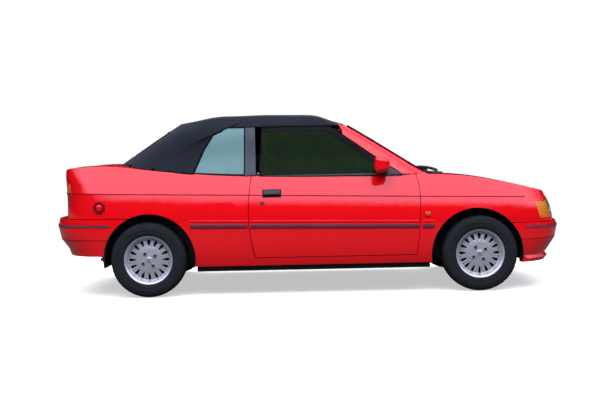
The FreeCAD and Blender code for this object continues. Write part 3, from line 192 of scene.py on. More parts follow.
# Height in the dome and colour, from the ground up
SKY_STOPS = ((0.0, "141614"), (0.23, "1f221f"), (0.34, "ccd2f2"), (1.0, "e6ecff"))
world = bpy.data.worlds.new("studio")
scene.world = world
world.use_nodes = True
tree = world.node_tree
sky = tree.nodes["Background"]
place = add(tree, "TexCoord")
height = add(tree, "SeparateXYZ", None, {0: place.outputs["Generated"]})
ramp = add(tree, "ValToRGB", None, {0: height.outputs["Z"]})
for spot, (position, colour) in enumerate(SKY_STOPS):
    stop = ramp.color_ramp.elements[spot] if spot < 2 else ramp.color_ramp.elements.new(position)
    stop.position, stop.color = position, linear(colour)
path = add(tree, "LightPath")
side = add(tree, "MapRange", {
    "From Min": -SIDE_BLEND, "From Max": SIDE_BLEND,
    "To Min": SKY_FOR_MIRRORS, "To Max": SKY_FOR_MIRRORS * FAR_SIDE,
}, {"Value": height.outputs["Y"]})
level = add(tree, "Mix", {0: 0.0, 2: SKY_FOR_LIGHT}, {0: path.outputs["Is Glossy Ray"], 3: side.outputs[0]})
tree.links.new(ramp.outputs[0], sky.inputs["Color"])
tree.links.new(level.outputs[0], sky.inputs["Strength"])
backdrop = add(tree, "Background", {"Color": linear("ffffff"), "Strength": 1.0})
seen = add(tree, "Math", {"operation": "MAXIMUM"},
           {0: path.outputs["Is Camera Ray"], 1: path.outputs["Is Transmission Ray"]})
choice = add(tree, "MixShader", None, {0: seen.outputs[0], 1: sky.outputs[0], 2: backdrop.outputs[0]})
tree.links.new(choice.outputs[0], tree.nodes["World Output"].inputs["Surface"])
print("sky with", len(SKY_STOPS), "colours")

# %% Softboxes
SOFTBOX_LENGTH, SOFTBOX_WIDTH, SIDE_POWER, TOP_POWER = 11.0, 3.0, 680, 290
# Place of each in metres, and its lean towards the car in degrees
SOFTBOXES = {
    "softbox_right": (0.0, -4.2, 5.4, 38),
    "softbox_left": (0.0, 4.2, 5.4, -38),
    "softbox_top": (0.0, 0.0, 6.5, 0),
}
for name, (x, y, z, lean) in SOFTBOXES.items():
    lamp_data = bpy.data.lights.new(name, "AREA")
    lamp_data.shape = "RECTANGLE"
    lamp_data.size, lamp_data.size_y = SOFTBOX_LENGTH, SOFTBOX_WIDTH
    lamp_data.energy = SIDE_POWER if y else TOP_POWER
    lamp = bpy.data.objects.new(name, lamp_data)
    lamp.location = (x, y, z)
    lamp.rotation_euler = (math.radians(lean), 0, 0)
    lamp.visible_glossy = False
    scene.collection.objects.link(lamp)
print("stage with", len(SOFTBOXES), "softboxes")

# %% [markdown]
# ## Finishes
# Each finish starts from the real material: a red enamel under clear lacquer, grained polypropylene,
# moulded rubber, silver-lacquered cast aluminium, tinted float glass and moulded acrylic lenses.

# %% Paint, plastics and rubber
# Stoved red enamel under lacquer: deep colour with a clear mirror on top and a faint orange peel
car_paint = finish_of("red_enamel_under_lacquer", "e30513", 0.42, (6.0, 0.02), Specular_IOR_Level=0.06,
                      Coat_Weight=1.0, Coat_Roughness=0.02, Coat_IOR=1.58)

# Polypropylene from a grained mould: dull, with fine leather-like pits
black_plastic = finish_of("black_moulded_polypropylene", "17181a", 0.55, (1.4, 0.35))
grey_plastic = finish_of("grey_moulded_polypropylene", "2f3038", 0.5, (1.4, 0.25), (90, "2a2b33", "363842"),
                         Specular_IOR_Level=0.3)

# Extruded black seal rubber is almost matt; tyre rubber is dark grey with a dusty bloom
seal_rubber = finish_of("extruded_seal_rubber", "0b0c0e", 0.75, (2.0, 0.1), Specular_IOR_Level=0.12)
tyre_rubber = finish_of("vulcanised_tyre_rubber", "191b1f", 0.82, (1.8, 0.25), (40, "15171a", "24272c"),
                        Specular_IOR_Level=0.2)
print("paint, plastics and rubber ready")

# %% Metals
# Cast aluminium under silver lacquer is bright under a satin coat, dusty iron is dull, chrome mirrors all
alloy = finish_of("silver_lacquered_cast_aluminium", "b9bcc4", 0.34, (1.2, 0.06), Metallic=0.55,
                  Coat_Weight=0.6, Coat_Roughness=0.12)
rim_dark = finish_of("dusty_cast_iron", "17171a", 0.7, (2.5, 0.5), Metallic=0.4)
chrome = finish_of("polished_chrome_plate", "d6d8dc", 0.08, (8.0, 0.01), Metallic=1.0)

# Sprayed underseal, pressed steel with a little rust, and a cast block
underseal = finish_of("sprayed_bitumen_underseal", "121314", 0.85, (5.0, 0.8))
pressed_steel = finish_of("black_painted_pressed_steel", "2b2c2e", 0.55, (3.0, 0.25),
                          (60, "232426", "40372f"), Metallic=0.3)
cast_block = finish_of("sand_cast_iron", "3c3d3f", 0.65, (2.0, 0.6), Metallic=0.6)
print("metals ready")

# %% Glass and lenses
# Green-tinted float glass: thin sheets that let most light through and mirror the sky at a slant
tinted_glass = finish_of("green_tinted_float_glass", "56706a", 0.0, IOR=1.45, Transmission_Weight=0.9)
# The windscreen is seen at a slant, through more glass, so it is a darker green grey
screen_pane = finish_of("green_grey_laminated_glass", "4d5c57", 0.0, IOR=1.3, Transmission_Weight=0.8)
# The door glass is a deeper green and dark: its colour is painted shade of the dark cabin behind it, and its
# mottle is painted reflection of trees
door_pane = finish_of("deep_green_float_glass", "1a2a16", 0.0, None, (60, "020501", "1d3814"), IOR=1.12,
                      Transmission_Weight=0.55)
# The rear side panes lean more and mirror the pale sky: their milky grey colour and its mottle are painted
# reflection of the sky
quarter_pane = finish_of("grey_tinted_float_glass", "6f929b", 0.06, None, (260, "557780", "6b898d"), IOR=1.15,
                         Transmission_Weight=0.12)


def lens(name, colour, ribs_mm, clear):
    """Moulded acrylic with fine upright ribs on its face, which spread the light of the lamp."""
    material = finish_of(name, colour, 0.12, IOR=1.49, Transmission_Weight=clear, Coat_Weight=0.5)
    tree = material.node_tree
    place = add(tree, "TexCoord").outputs["Object"]
    ribs = add(tree, "TexWave", {"Scale": 1000 / ribs_mm / math.tau, "bands_direction": "Z"},
               {"Vector": place})
    bump = add(tree, "Bump", {"Strength": 0.5, "Distance": 0.002}, {"Height": ribs.outputs["Fac"]})
    tree.links.new(bump.outputs["Normal"], tree.nodes["Principled BSDF"].inputs["Normal"])
    return material


clear_lens = lens("clear_ribbed_acrylic_lens", "e8edf0", 8.0, 0.85)
amber_lens = lens("amber_ribbed_acrylic_lens", "f08a12", 7.0, 0.25)
red_lens = lens("red_ribbed_acrylic_lens", "b00c14", 7.0, 0.25)
print("glass and lenses ready")

# %% Finishes on the fixed nodes
EDGE_ANGLE, WELD = 28, 0.0001
NODE_FINISHES = {
    car_paint: ("bonnet", "boot_lid", "front_wings", "door_right", "door_left", "quarter_panels", "sills",
                "rear_deck", "rear_panel", "front_panel", "front_bumper", "rear_bumper", "door_mirror_right",
                "door_mirror_left", "scuttle", "windscreen_frame"),
    black_plastic: ("grille", "wheel_liners", "top_well", "dashboard", "console", "steering_wheel"),
    grey_plastic: ("roll_hoop",),
    underseal: ("floor_pan", "front_frame"),
    clear_lens: ("headlamps",),
    amber_lens: ("front_indicators",),
    red_lens: ("tail_lamps",),
    tinted_glass: ("rear_window",),
    screen_pane: ("windscreen",),
    door_pane: ("door_glass_right", "door_glass_left"),
    quarter_pane: ("quarter_windows",),
    cast_block: ("engine", "knuckle_right", "knuckle_left"),
    pressed_steel: ("exhaust", "front_suspension", "rear_axle", "drive_shafts", "fuel_tank"),
}
for material, names in NODE_FINISHES.items():
    for name in names:
        nodes[name].material_slots[0].material = material
for node in nodes.values():
    # Live modifiers join a node's loose triangles for shading and keep its edges sharp
    node.modifiers.new("weld", "WELD").merge_threshold = WELD
    node.modifiers.new("edges", "EDGE_SPLIT").split_angle = math.radians(EDGE_ANGLE)
    even = node.modifiers.new("shading", "WEIGHTED_NORMAL")
    even.weight, even.keep_sharp = 100, True
print("finishes on", sum(len(names) for names in NODE_FINISHES.values()), "nodes")

# %% [markdown]
# ## Tools for modelling
# New pieces start from primitives that are shaped in edit mode. Trim that follows the body is laid
# against a merged copy of the panels with a Shrinkwrap modifier, then gets its thickness.


# %% Selecting and editing
X, Z, FACING = 0, 2, 0.9


def active(piece):
    """Selects one piece alone and makes it the active one."""
    fresh()
    piece.select_set(True)
    bpy.context.view_layer.objects.active = piece


def started(name):
    """Names the primitive that was just added."""
    piece = bpy.context.object
    piece.name = piece.data.name = name
    return piece


def edit(piece):
    """Opens a piece in edit mode with all of it selected."""
    active(piece)
    bpy.ops.object.mode_set(mode="EDIT")
    whole()


def whole():
    """Selects the whole mesh in edit mode."""
    bpy.ops.mesh.select_all(action="SELECT")


def leave():
    """Goes back to object mode."""
    bpy.ops.object.mode_set(mode="OBJECT")


def pick(piece, test, kind="faces"):
    """In edit mode, selects only those faces or edges for which test is true."""
    bpy.ops.mesh.select_mode(type={"faces": "FACE", "edges": "EDGE"}[kind])
    bpy.ops.mesh.select_all(action="DESELECT")
    mesh = bmesh.from_edit_mesh(piece.data)
    for element in getattr(mesh, kind):
        if test(element):
            element.select_set(True)
    mesh.select_flush_mode()
    bmesh.update_edit_mesh(piece.data)


def towards(axis, sign=1):
    """A test for faces that look along an axis (0, 1 or 2), or against it with sign -1."""
    return lambda face: face.normal[axis] * sign > FACING


def drop(piece, test, kind="faces"):
    """In edit mode, deletes those faces or edges, and what hangs loose after that."""
    pick(piece, test, kind)
    bpy.ops.mesh.delete(type={"faces": "FACE", "edges": "EDGE"}[kind])
    whole()
    bpy.ops.mesh.delete_loose(use_verts=True, use_edges=kind == "faces", use_faces=False)
    whole()


print("selecting and editing ready")


# %% Settling, copying and joining
def settle(piece):
    """Applies place and modifiers, so that the piece sits at the origin with its place in its mesh."""
    active(piece)
    bpy.ops.object.transform_apply(location=True, rotation=True, scale=True)
    for modifier in list(piece.modifiers):
        bpy.ops.object.modifier_apply(modifier=modifier.name)
    return piece


def outward(piece):
    """Merges doubles and turns every face outwards."""
    edit(piece)
    bpy.ops.mesh.remove_doubles(threshold=0.00005)
    bpy.ops.mesh.normals_make_consistent(inside=False)
    leave()
    return piece


def copy_of(source, name):
    """A copy with its own mesh, in the scene."""
    copy = source.copy()
    copy.data = source.data.copy()
    copy.name = copy.data.name = name
    scene.collection.objects.link(copy)
    return copy


def joined(pieces, name):
    """Several pieces made one."""
    fresh()
    for piece in pieces:
        piece.select_set(True)
    bpy.context.view_layer.objects.active = pieces[0]
    if len(pieces) > 1:
        bpy.ops.object.join()
    return started(name)


print("settling, copying and joining ready")


# %% Finishing a piece
def bevelled(piece, width, segments=2, angle=30):
    """Rounds the edges that are sharper than an angle."""
    bevel = piece.modifiers.new("rounding", "BEVEL")
    bevel.width, bevel.segments, bevel.limit_method = width, segments, "ANGLE"
    bevel.angle_limit = math.radians(angle)
    return piece


def walled(piece, thickness, side=1.0):
    """Gives a sheet its thickness, outwards or with side -1 inwards."""
    wall = piece.modifiers.new("wall", "SOLIDIFY")
    wall.thickness, wall.offset = thickness, side
    return piece


def painted(piece, material):
    """One material on the whole piece."""
    piece.data.materials.clear()
    piece.data.materials.append(material)


def declared(piece, body, slot):
    """Makes the piece ride on its body; slot is not used."""
    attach(piece, body)
    return piece


def done(piece, material, body, slot, angle=35):
    """Gives a finished piece its material, its shading and the body that it rides on."""
    settle(piece)
    painted(piece, material)
    active(piece)
    bpy.ops.object.shade_smooth_by_angle(angle=math.radians(angle))
    return declared(piece, body, slot)


print("finishing tools ready")

# %% Twins on the left side
# The bodies that a piece of the right side and its twin ride on
BODY, DOORS = ("body", "body"), ("door_right", "door_left")


def mirrored(piece, name, middle=0.0):
    """A copy turned over about an upright plane along the car."""
    copy = copy_of(piece, name)
    edit(copy)
    bpy.ops.transform.resize(value=(1, -1, 1), center_override=(0, middle, 0))
    bpy.ops.mesh.flip_normals()
    leave()
    return copy


def both_sides(piece, material, bodies, slot, angle=35):
    """Finishes a piece of the right side, and makes its twin on the left."""
    done(piece, material, bodies[0], slot, angle)
    return declared(mirrored(piece, piece.name.replace("_right", "_left")), bodies[1], slot)


print("mirroring ready")


# %% Pieces laid on the body
def skin_of(name, *node_names):
    """A merged copy of some CAD nodes, which becomes a new piece or guides other pieces."""
    guide = joined([copy_of(nodes[node_name], node_name + "_copy") for node_name in node_names], name)
    edit(guide)
    bpy.ops.mesh.remove_doubles(threshold=WELD)
    leave()
    guide.modifiers.clear()
    return guide


side_guide = skin_of("side_guide", "front_wings", "door_right", "quarter_panels", "sills")


def side_strip(name, x0, x1, z0, z1, height, lift, thickness, steps=40, rows=3):
    """A strip from (x0, z0) to (x1, z1), pressed against the right side, then made thick outwards."""
    fresh()
    slope = math.atan2(z1 - z0, x1 - x0)
    bpy.ops.mesh.primitive_grid_add(
        x_subdivisions=steps, y_subdivisions=rows, size=1, location=((x0 + x1) / 2, -1.2, (z0 + z1) / 2),
        rotation=(math.pi / 2, -slope, 0))
    strip = started(name)
    strip.scale = (math.hypot(x1 - x0, z1 - z0), height, 1)
    bpy.ops.object.transform_apply(location=True, rotation=True, scale=True)
    press = strip.modifiers.new("press", "SHRINKWRAP")
    press.target, press.wrap_method, press.offset = side_guide, "PROJECT", lift
    press.use_project_y, press.use_positive_direction, press.use_negative_direction = True, True, False
    return settle(walled(strip, thickness))


def cuboid(name, middle, size):
    """A plain block, with its place and size in its mesh."""
    fresh()
    bpy.ops.mesh.primitive_cube_add(size=1, location=middle)
    piece = started(name)
    piece.scale = size
    return settle(piece)


print("tools for pieces on the side ready")

# %% [markdown]
# ## Rub strips and pressed ridge
# A dark strip of moulded plastic runs along the side from arch to arch, with a pressed ridge of the
# door skin just above it that catches the light. Each panel has its own length, so that the doors open.

# %% Rub strips
STRIP_REAR, STRIP_FRONT = (-0.890, 0.544), (0.952, 0.510)
SKIN_GAP = 0.0005
LENGTHS = {"quarter": (-0.890, -0.459, BODY), "door": (-0.436, 0.836, DOORS), "wing": (0.862, 0.952, BODY)}
# The insert of the strips is a faded maroon plastic, between the paint and the dark grey of the pillars
maroon_plastic = finish_of("maroon_moulded_strip_plastic", "5c2836", 0.5, (1.4, 0.2),
                           (90, "512230", "662e3d"), Specular_IOR_Level=0.3)
# Height above the strip's middle, width, thickness, finish and slot
STRIPS = {"rub_strip": (0.0, 0.027, 0.008, maroon_plastic, "grey_trim"),
          "ridge": (0.036, 0.012, 0.004, car_paint, "red_paint")}


def strip_height(x):
    """Height of the rub strip's middle, which falls a little towards the nose."""
    share = (x - STRIP_REAR[0]) / (STRIP_FRONT[0] - STRIP_REAR[0])
    return STRIP_REAR[1] + share * (STRIP_FRONT[1] - STRIP_REAR[1])


for place, (x0, x1, bodies) in LENGTHS.items():
    for kind, (above, width, thick, material, slot) in STRIPS.items():
        z0, z1 = strip_height(x0) + above, strip_height(x1) + above
        strip = side_strip(f"{place}_{kind}_right", x0, x1, z0, z1, width, SKIN_GAP, thick)
        both_sides(bevelled(strip, thick * 0.42, 3), material, bodies, slot)
print("rub strips:", len(LENGTHS) * 4, "pieces")

# %% [markdown]
# ## Wheels
# The alloy wheel is cast in one piece with a wide bright lip, a dished face, sixteen drop-shaped slots
# with a small hole between each two, and four nuts in pockets. Its section is spun about the axle, and
# the openings are cut out of the spun face with one joined cutter. The tyre's section is spun too, and
# its tread blocks are pushed in where the grooves are. One wheel is made and copied to the other three.

# %% The spun sections
TYRE_RADIUS = 0.289
WHEEL_CENTRES = {
    "front_right": (1.305, -0.720), "rear_right": (-1.220, -0.731),
    "front_left": (1.305, 0.720), "rear_left": (-1.220, 0.731),
}
# Distance from the axle and distance out from the wheel's middle plane, for the alloy face and lip
RIM_SECTION = [
    (0.0, 0.048), (0.020, 0.048), (0.023, 0.044), (0.060, 0.0445), (0.090, 0.043), (0.105, 0.040),
    (0.156, 0.036), (0.160, 0.040), (0.163, 0.052), (0.168, 0.066), (0.176, 0.076), (0.186, 0.080),
    (0.194, 0.0815), (0.1945, 0.079), (0.189, 0.074), (0.181, 0.068), (0.175, 0.050), (0.172, 0.0),
    (0.172, -0.072), (0.190, -0.080), (0.186, -0.0815), (0.168, -0.076), (0.166, 0.0), (0.158, 0.022),
    (0.105, 0.026), (0.036, 0.028), (0.032, -0.040), (0.0, -0.040),
]
# The tyre's inner half, from the bead over the side wall and shoulder to the middle of the tread
TYRE_SECTION = [
    (0.179, -0.073), (0.186, -0.081), (0.200, -0.0868), (0.215, -0.090), (0.218, -0.0888), (0.222, -0.0905),
    (0.236, -0.0915), (0.248, -0.0908), (0.251, -0.0895), (0.256, -0.0898), (0.266, -0.0868), (0.275, -0.0815),
    (0.281, -0.074), (0.285, -0.065), (0.2868, -0.052), (0.280, -0.051), (0.280, -0.043), (0.2875, -0.042),
    (0.2882, -0.018), (0.2808, -0.017), (0.2808, -0.009), (0.2888, -0.008),
]
RIM_STEPS, TYRE_STEPS = 128, 144


def spun(name, section, steps=24, closed=False):
    """A section turned about an axle along Y, started from a loop of points; an open one loses an edge."""
    fresh()
    bpy.ops.mesh.primitive_circle_add(vertices=len(section), radius=0.1)
    piece = started(name)
    for vertex, (radius, out) in zip(piece.data.vertices, section):
        vertex.co = (radius, -out, 0)
    edit(piece)
    if not closed:
        ends = {0, len(section) - 1}
        pick(piece, lambda edge: {edge.verts[0].index, edge.verts[1].index} == ends, "edges")
        bpy.ops.mesh.delete(type="EDGE")
        whole()
    bpy.ops.mesh.spin(steps=steps, angle=math.tau, center=(0, 0, 0), axis=(0, 1, 0))
    leave()
    return outward(piece)


rim = spun("rim_model", RIM_SECTION, RIM_STEPS)
outer_half = [(radius, -out) for radius, out in reversed(TYRE_SECTION)]
tyre = spun("tyre_model", TYRE_SECTION + outer_half, TYRE_STEPS, closed=True)
print("rim", len(rim.data.polygons), "faces, tyre", len(tyre.data.polygons), "faces")

# %% Openings in the alloy face
SLOTS, SLOT_MIDDLE, HOLE_MIDDLE, HOLE_RADIUS, HOLE_SIDES = 16, 0.1285, 0.149, 0.0048, 10
HALF_DROP = [(0.0045, -0.024), (0.0075, -0.010), (0.0115, 0.008), (0.0105, 0.018), (0.0055, 0.0245)]
DROP = [(-0.0045, -0.024), *HALF_DROP, *[(-x, z) for x, z in reversed(HALF_DROP[1:])]]
HOLE_TURNS = [math.tau * k / HOLE_SIDES for k in range(HOLE_SIDES)]
HOLE = [(HOLE_RADIUS * math.cos(turn), HOLE_RADIUS * math.sin(turn)) for turn in HOLE_TURNS]


def peg(outline, radius, angle):
    """A prism through the wheel's face with a given outline, at a distance and angle about the axle."""
    fresh()
    bpy.ops.mesh.primitive_cylinder_add(vertices=len(outline), radius=0.01, depth=0.06)
    piece = started("cutter")
    for i, (x, z) in enumerate(outline):
        piece.data.vertices[2 * i].co = (x, -0.060, z)
        piece.data.vertices[2 * i + 1].co = (x, 0.004, z)
    piece.data.transform(Matrix.Rotation(angle, 4, "Y") @ Matrix.Translation((0, 0, radius)))
    return outward(piece)


cutters = []
for k in range(SLOTS):
    turn = math.tau * k / SLOTS
    cutters += [peg(DROP, SLOT_MIDDLE, turn), peg(HOLE, HOLE_MIDDLE, turn + math.pi / SLOTS)]
openings = joined(cutters, "openings")
cut = rim.modifiers.new("openings", "BOOLEAN")
cut.operation, cut.object, cut.solver = "DIFFERENCE", openings, "EXACT"
settle(rim)
bpy.data.objects.remove(openings)
settle(bevelled(rim, 0.0012, 2, 40))
print("openings cut:", 2 * SLOTS, "rim now", len(rim.data.polygons), "faces")

# %% Nuts, cap, valve and the brake behind
NUTS, NUT_CIRCLE, FIRST_NUT, VALVE_PLACE = 4, 0.054, 0.22, 0.152
POCKET = [(0.0, 0.0452), (0.0125, 0.0452), (0.014, 0.049), (0.016, 0.049), (0.0175, 0.0445), (0.0175, 0.040),
          (0.0, 0.040)]
# Pieces spun about the wheel's own axle: finish, steps and section
AXLE_PIECES = {
    "centre_cap": (alloy, 48, [(0.0, 0.0525), (0.012, 0.052), (0.0185, 0.050), (0.0205, 0.047),
                               (0.0205, 0.043), (0.0, 0.043)]),
    "plain_cap_disc": (chrome, 32, [(0.0, 0.0532), (0.0085, 0.0529), (0.0092, 0.0518), (0.0, 0.0515)]),
    "valve": (seal_rubber, 12, [(0.0, 0.062), (0.003, 0.061), (0.0035, 0.052), (0.0042, 0.040), (0.0, 0.040)]),
    "brake_disc": (rim_dark, 64, [(0.0, 0.014), (0.118, 0.014), (0.118, 0.006), (0.121, 0.006),
                                  (0.121, -0.010), (0.0, -0.010)]),
    "dust_shield": (rim_dark, 64, [(0.0, -0.012), (0.160, -0.012), (0.164, -0.006), (0.166, -0.006),
                                   (0.162, -0.016), (0.0, -0.016)]),
}
fittings = []
for k in range(NUTS):
    turn = math.tau * (k + 0.5) / NUTS + FIRST_NUT
    x, z = NUT_CIRCLE * math.sin(turn), NUT_CIRCLE * math.cos(turn)
    pocket = spun("nut_pocket", POCKET, 32)
    pocket.data.transform(Matrix.Translation((x, 0, z)))
    painted(pocket, alloy)
    fresh()
    bpy.ops.mesh.primitive_cylinder_add(vertices=6, radius=0.0095, depth=0.014, location=(x, -0.047, z),
                                        rotation=(math.pi / 2, 0, 0))
    nut = settle(bevelled(started("wheel_nut"), 0.0012, 2))
    painted(nut, rim_dark)
    fittings += [pocket, nut]
for name, (material, steps, section) in AXLE_PIECES.items():
    piece = spun(name, section, steps)
    if name == "valve":
        piece.data.transform(Matrix.Translation((0, 0, -VALVE_PLACE)))
    painted(piece, material)
    fittings.append(piece)
print("wheel fittings:", len(fittings))

# %% Tread blocks
SHOULDER_FROM, SHOULDER_RADIUS, SHOULDER_EVERY = 0.053, 0.279, 4
RIB_FROM, RIB_TO, RIB_RADIUS, RIB_EVERY = 0.019, 0.041, 0.285, 3
SIPE_EDGE, SIPE_DEPTH = 0.0009, 0.005


def in_groove(face):
    """The narrow sipes across the shoulder blocks and the middle ribs."""
    place = face.calc_center_median()
    radius, out = math.hypot(place.x, place.z), abs(place.y)
    step = round((math.atan2(place.z, place.x) + math.pi) / math.tau * TYRE_STEPS - 0.5)
    shoulder = out > SHOULDER_FROM and radius > SHOULDER_RADIUS and step % SHOULDER_EVERY == 0
    return shoulder or (RIB_FROM < out < RIB_TO and radius > RIB_RADIUS and step % RIB_EVERY == 0)


edit(tyre)
pick(tyre, in_groove)
bpy.ops.mesh.inset(thickness=SIPE_EDGE, depth=-SIPE_DEPTH)
leave()
print("tyre now", len(tyre.data.polygons), "faces")

# %% Four wheels
painted(rim, alloy)
painted(tyre, tyre_rubber)
fitting_set = joined(fittings, "wheel_fittings")
WHEEL_PARTS = {"alloy_wheel": (rim, "alloy", 32), "tyre_cover": (tyre, "tyre", 40),
               "wheel_fittings": (fitting_set, "alloy", 35)}
for place, (x, y) in WHEEL_CENTRES.items():
    for kind, (source, slot, angle) in WHEEL_PARTS.items():
        piece = copy_of(source, f"{kind}_{place}")
        if y > 0:
            piece.data.transform(Matrix.Rotation(math.pi, 4, "Z"))
        piece.data.transform(Matrix.Translation((x, y, TYRE_RADIUS)))
        active(piece)
        bpy.ops.object.shade_smooth_by_angle(angle=math.radians(angle))
        declared(piece, f"wheel_{place}", slot)
    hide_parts(f"rim_{place}")
    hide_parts(f"tyre_{place}")
for source in (rim, tyre, fitting_set):
    bpy.data.objects.remove(source)
print("four wheels placed")

# %% [markdown]
# ## Fabric top
# The raised top is one continuous sheet of double-texture canvas, stretched from the screen header over
# three bows to the tail of the cabin. Its sheet starts from a merged copy of the solid's outer faces. It
# dips a few millimetres between the bows, as stretched cloth does, and is bound with a black edging.

# %% Canvas
# Crossed threads, slightly uneven in their dye, so the black is soft and a little grey
THREAD_MM = 1.2
canvas = finish_of("black_double_texture_canvas", "1c1f28", 0.95, None, (140, "181b24", "20242d"),
                   Specular_IOR_Level=0.05, Sheen_Weight=0.02, Sheen_Roughness=0.5)
tree = canvas.node_tree
place = add(tree, "TexCoord").outputs["Object"]
warp, weft = [
    add(tree, "TexWave", {"Scale": 1000 / THREAD_MM / math.tau, "bands_direction": axis}, {"Vector": place})
    for axis in "XY"]
threads = add(tree, "Math", {"operation": "MULTIPLY"}, {0: warp.outputs["Fac"], 1: weft.outputs["Fac"]})
bump = add(tree, "Bump", {"Strength": 0.4, "Distance": 0.0004}, {"Height": threads.outputs[0]})
tree.links.new(bump.outputs["Normal"], tree.nodes["Principled BSDF"].inputs["Normal"])
print("canvas ready, thread", THREAD_MM, "mm")

# %% The stretched sheet
BOWS = (0.02, -0.36, -0.74, -1.06)
SAG, SAG_FROM, SAG_FULL = 0.004, 1.18, 1.30
CABIN_REAR, CABIN_FRONT, CABIN_HEIGHT, OUTWARDS = -0.9, 0.1, 0.85, 0.35


def looks_out(face):
    """True for a face of the cabin's outer side, seen from the middle line of the cabin."""
    place = face.calc_center_median()
    middle = Vector((min(max(place.x, CABIN_REAR), CABIN_FRONT), 0, CABIN_HEIGHT))
    return (place - middle).normalized().dot(face.normal) > OUTWARDS


top = skin_of("fabric_top", "soft_top")
edit(top)
drop(top, lambda face: not looks_out(face))
bpy.ops.mesh.tris_convert_to_quads()
bpy.ops.mesh.subdivide(number_cuts=1)
leave()
mesh = bmesh.new()
mesh.from_mesh(top.data)
for vertex in mesh.verts:
    for rear, front in zip(BOWS[1:], BOWS):
        if rear < vertex.co.x < front and not vertex.is_boundary:
            share = math.sin(math.pi * (vertex.co.x - rear) / (front - rear)) ** 2
            share *= min(max((vertex.co.z - SAG_FROM) / (SAG_FULL - SAG_FROM), 0.0), 1.0)
            vertex.co -= vertex.normal * SAG * share
mesh.to_mesh(top.data)
mesh.free()

# %% Binding and bows
EDGING_RADIUS, BOW_RADIUS, BOW_SHARE, CLOTH = 0.0045, 0.010, 0.965, 0.003


def tube_of(piece, radius):
    """Turns a mesh that is only edges into a round tube."""
    active(piece)
    bpy.ops.object.convert(target="CURVE")
    piece = bpy.context.object
    piece.data.bevel_depth, piece.data.bevel_resolution = radius, 3
    bpy.ops.object.convert(target="MESH")
    return bpy.context.object


edging = copy_of(top, "top_edging")
edit(edging)
drop(edging, lambda edge: not edge.is_boundary, "edges")
leave()
edging = done(tube_of(edging, EDGING_RADIUS), seal_rubber, "body", "top_fabric", 60)
for number, x in enumerate(BOWS[1:]):
    bow = copy_of(top, f"top_bow_{number}")
    edit(bow)
    bpy.ops.mesh.bisect(plane_co=(x, 0, 0), plane_no=(1, 0, 0))
    bpy.ops.mesh.select_all(action="INVERT")
    bpy.ops.mesh.delete(type="EDGE")
    whole()
    bpy.ops.mesh.delete_loose(use_verts=True, use_edges=False, use_faces=False)
    whole()
    bpy.ops.transform.resize(value=(1, BOW_SHARE, BOW_SHARE), center_override=(x, 0, 0.9))
    leave()
    done(tube_of(bow, BOW_RADIUS), pressed_steel, "body", "steel", 60)
done(walled(top, CLOTH, -1.0), canvas, "body", "top_fabric", 40)
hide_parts("soft_top")
print("fabric top, edging and", len(BOWS) - 1, "bows")

# %% [markdown]
# ## Bands cut from the panels
# Creases, bumper inserts and window seals follow the surface that carries them. Each is a slice of a
# merged copy of its panel: cuts with Bisect leave a band, which then gets its own thickness. The creases
# and the bumper grooves are thin bands of a darker red, which is painted shade.


# %% Slices of a panel
BAND_LIFT = 0.0003


# Each cut is a plane, as a point on it and the direction that is thrown away
def above(z):
    return (0, 0, z), (0, 0, 1)


def below(z):
    return (0, 0, z), (0, 0, -1)


def ahead_of(x):
    return (x, 0, 0), (1, 0, 0)


def behind(x):
    return (x, 0, 0), (-1, 0, 0)


def inside_of(sign, y):
    """What lies nearer the middle than y, and the other side; sign is 1 on the left, -1 on the right."""
    return (0, sign * y, 0), (0, -sign, 0)


def outer_side(face):
    """True for faces of a body panel that look away from the car's middle."""
    place, facing = face.calc_center_median(), face.normal
    return place.y * facing.y > OUTWARDS * abs(place.y) or place.x * facing.x > OUTWARDS * abs(place.x)


def slice_of(name, node_name, cuts, keep=outer_side):
    """What the cuts leave of a node's outer faces."""
    band = skin_of(name, node_name)
    edit(band)
    for place, away in cuts:
        whole()
        bpy.ops.mesh.bisect(plane_co=place, plane_no=away, clear_outer=True)
    drop(band, lambda face: not keep(face))
    leave()
    return band


def raised_band(name, node_name, cuts, thickness, material, body, slot):
    """A band that stands just off its panel."""
    band = slice_of(name, node_name, cuts)
    push = band.modifiers.new("lift", "DISPLACE")
    push.strength, push.mid_level = BAND_LIFT, 0.0
    done(walled(band, thickness), material, body, slot, 40)


print("slicing tools ready")

# %% Creases, inserts and grooves
# The pressed crease runs under the belt and rises a little towards the tail; its band is painted shade
CREASE, CREASE_HEIGHT, CREASE_REAR, CREASE_FRONT, CREASE_FALL = 0.7525, 0.0065, -1.80, 1.66, 0.0262
GROOVE, INSERT = 0.0012, 0.003
across = Vector((CREASE_FALL, 0, 1)).normalized()
crease_cuts = [below(0.690), above(0.820), behind(CREASE_REAR), ahead_of(CREASE_FRONT),
               ((0, 0, CREASE), -across), ((0, 0, CREASE + CREASE_HEIGHT), across)]
CREASED = {"quarter_panels": "body", "door_right": "door_right", "door_left": "door_left",
           "front_wings": "body"}
# The same enamel as a darker red, which is painted shade: it colours the crease and groove bands and the fuel
# cap
shaded_paint = finish_of("red_enamel_in_a_pressed_crease", "6d0d16", 0.5, (6.0, 0.02), Specular_IOR_Level=0.1)
for node_name, body in CREASED.items():
    raised_band(f"{node_name}_crease", node_name, crease_cuts, GROOVE, shaded_paint, body, "red_paint")
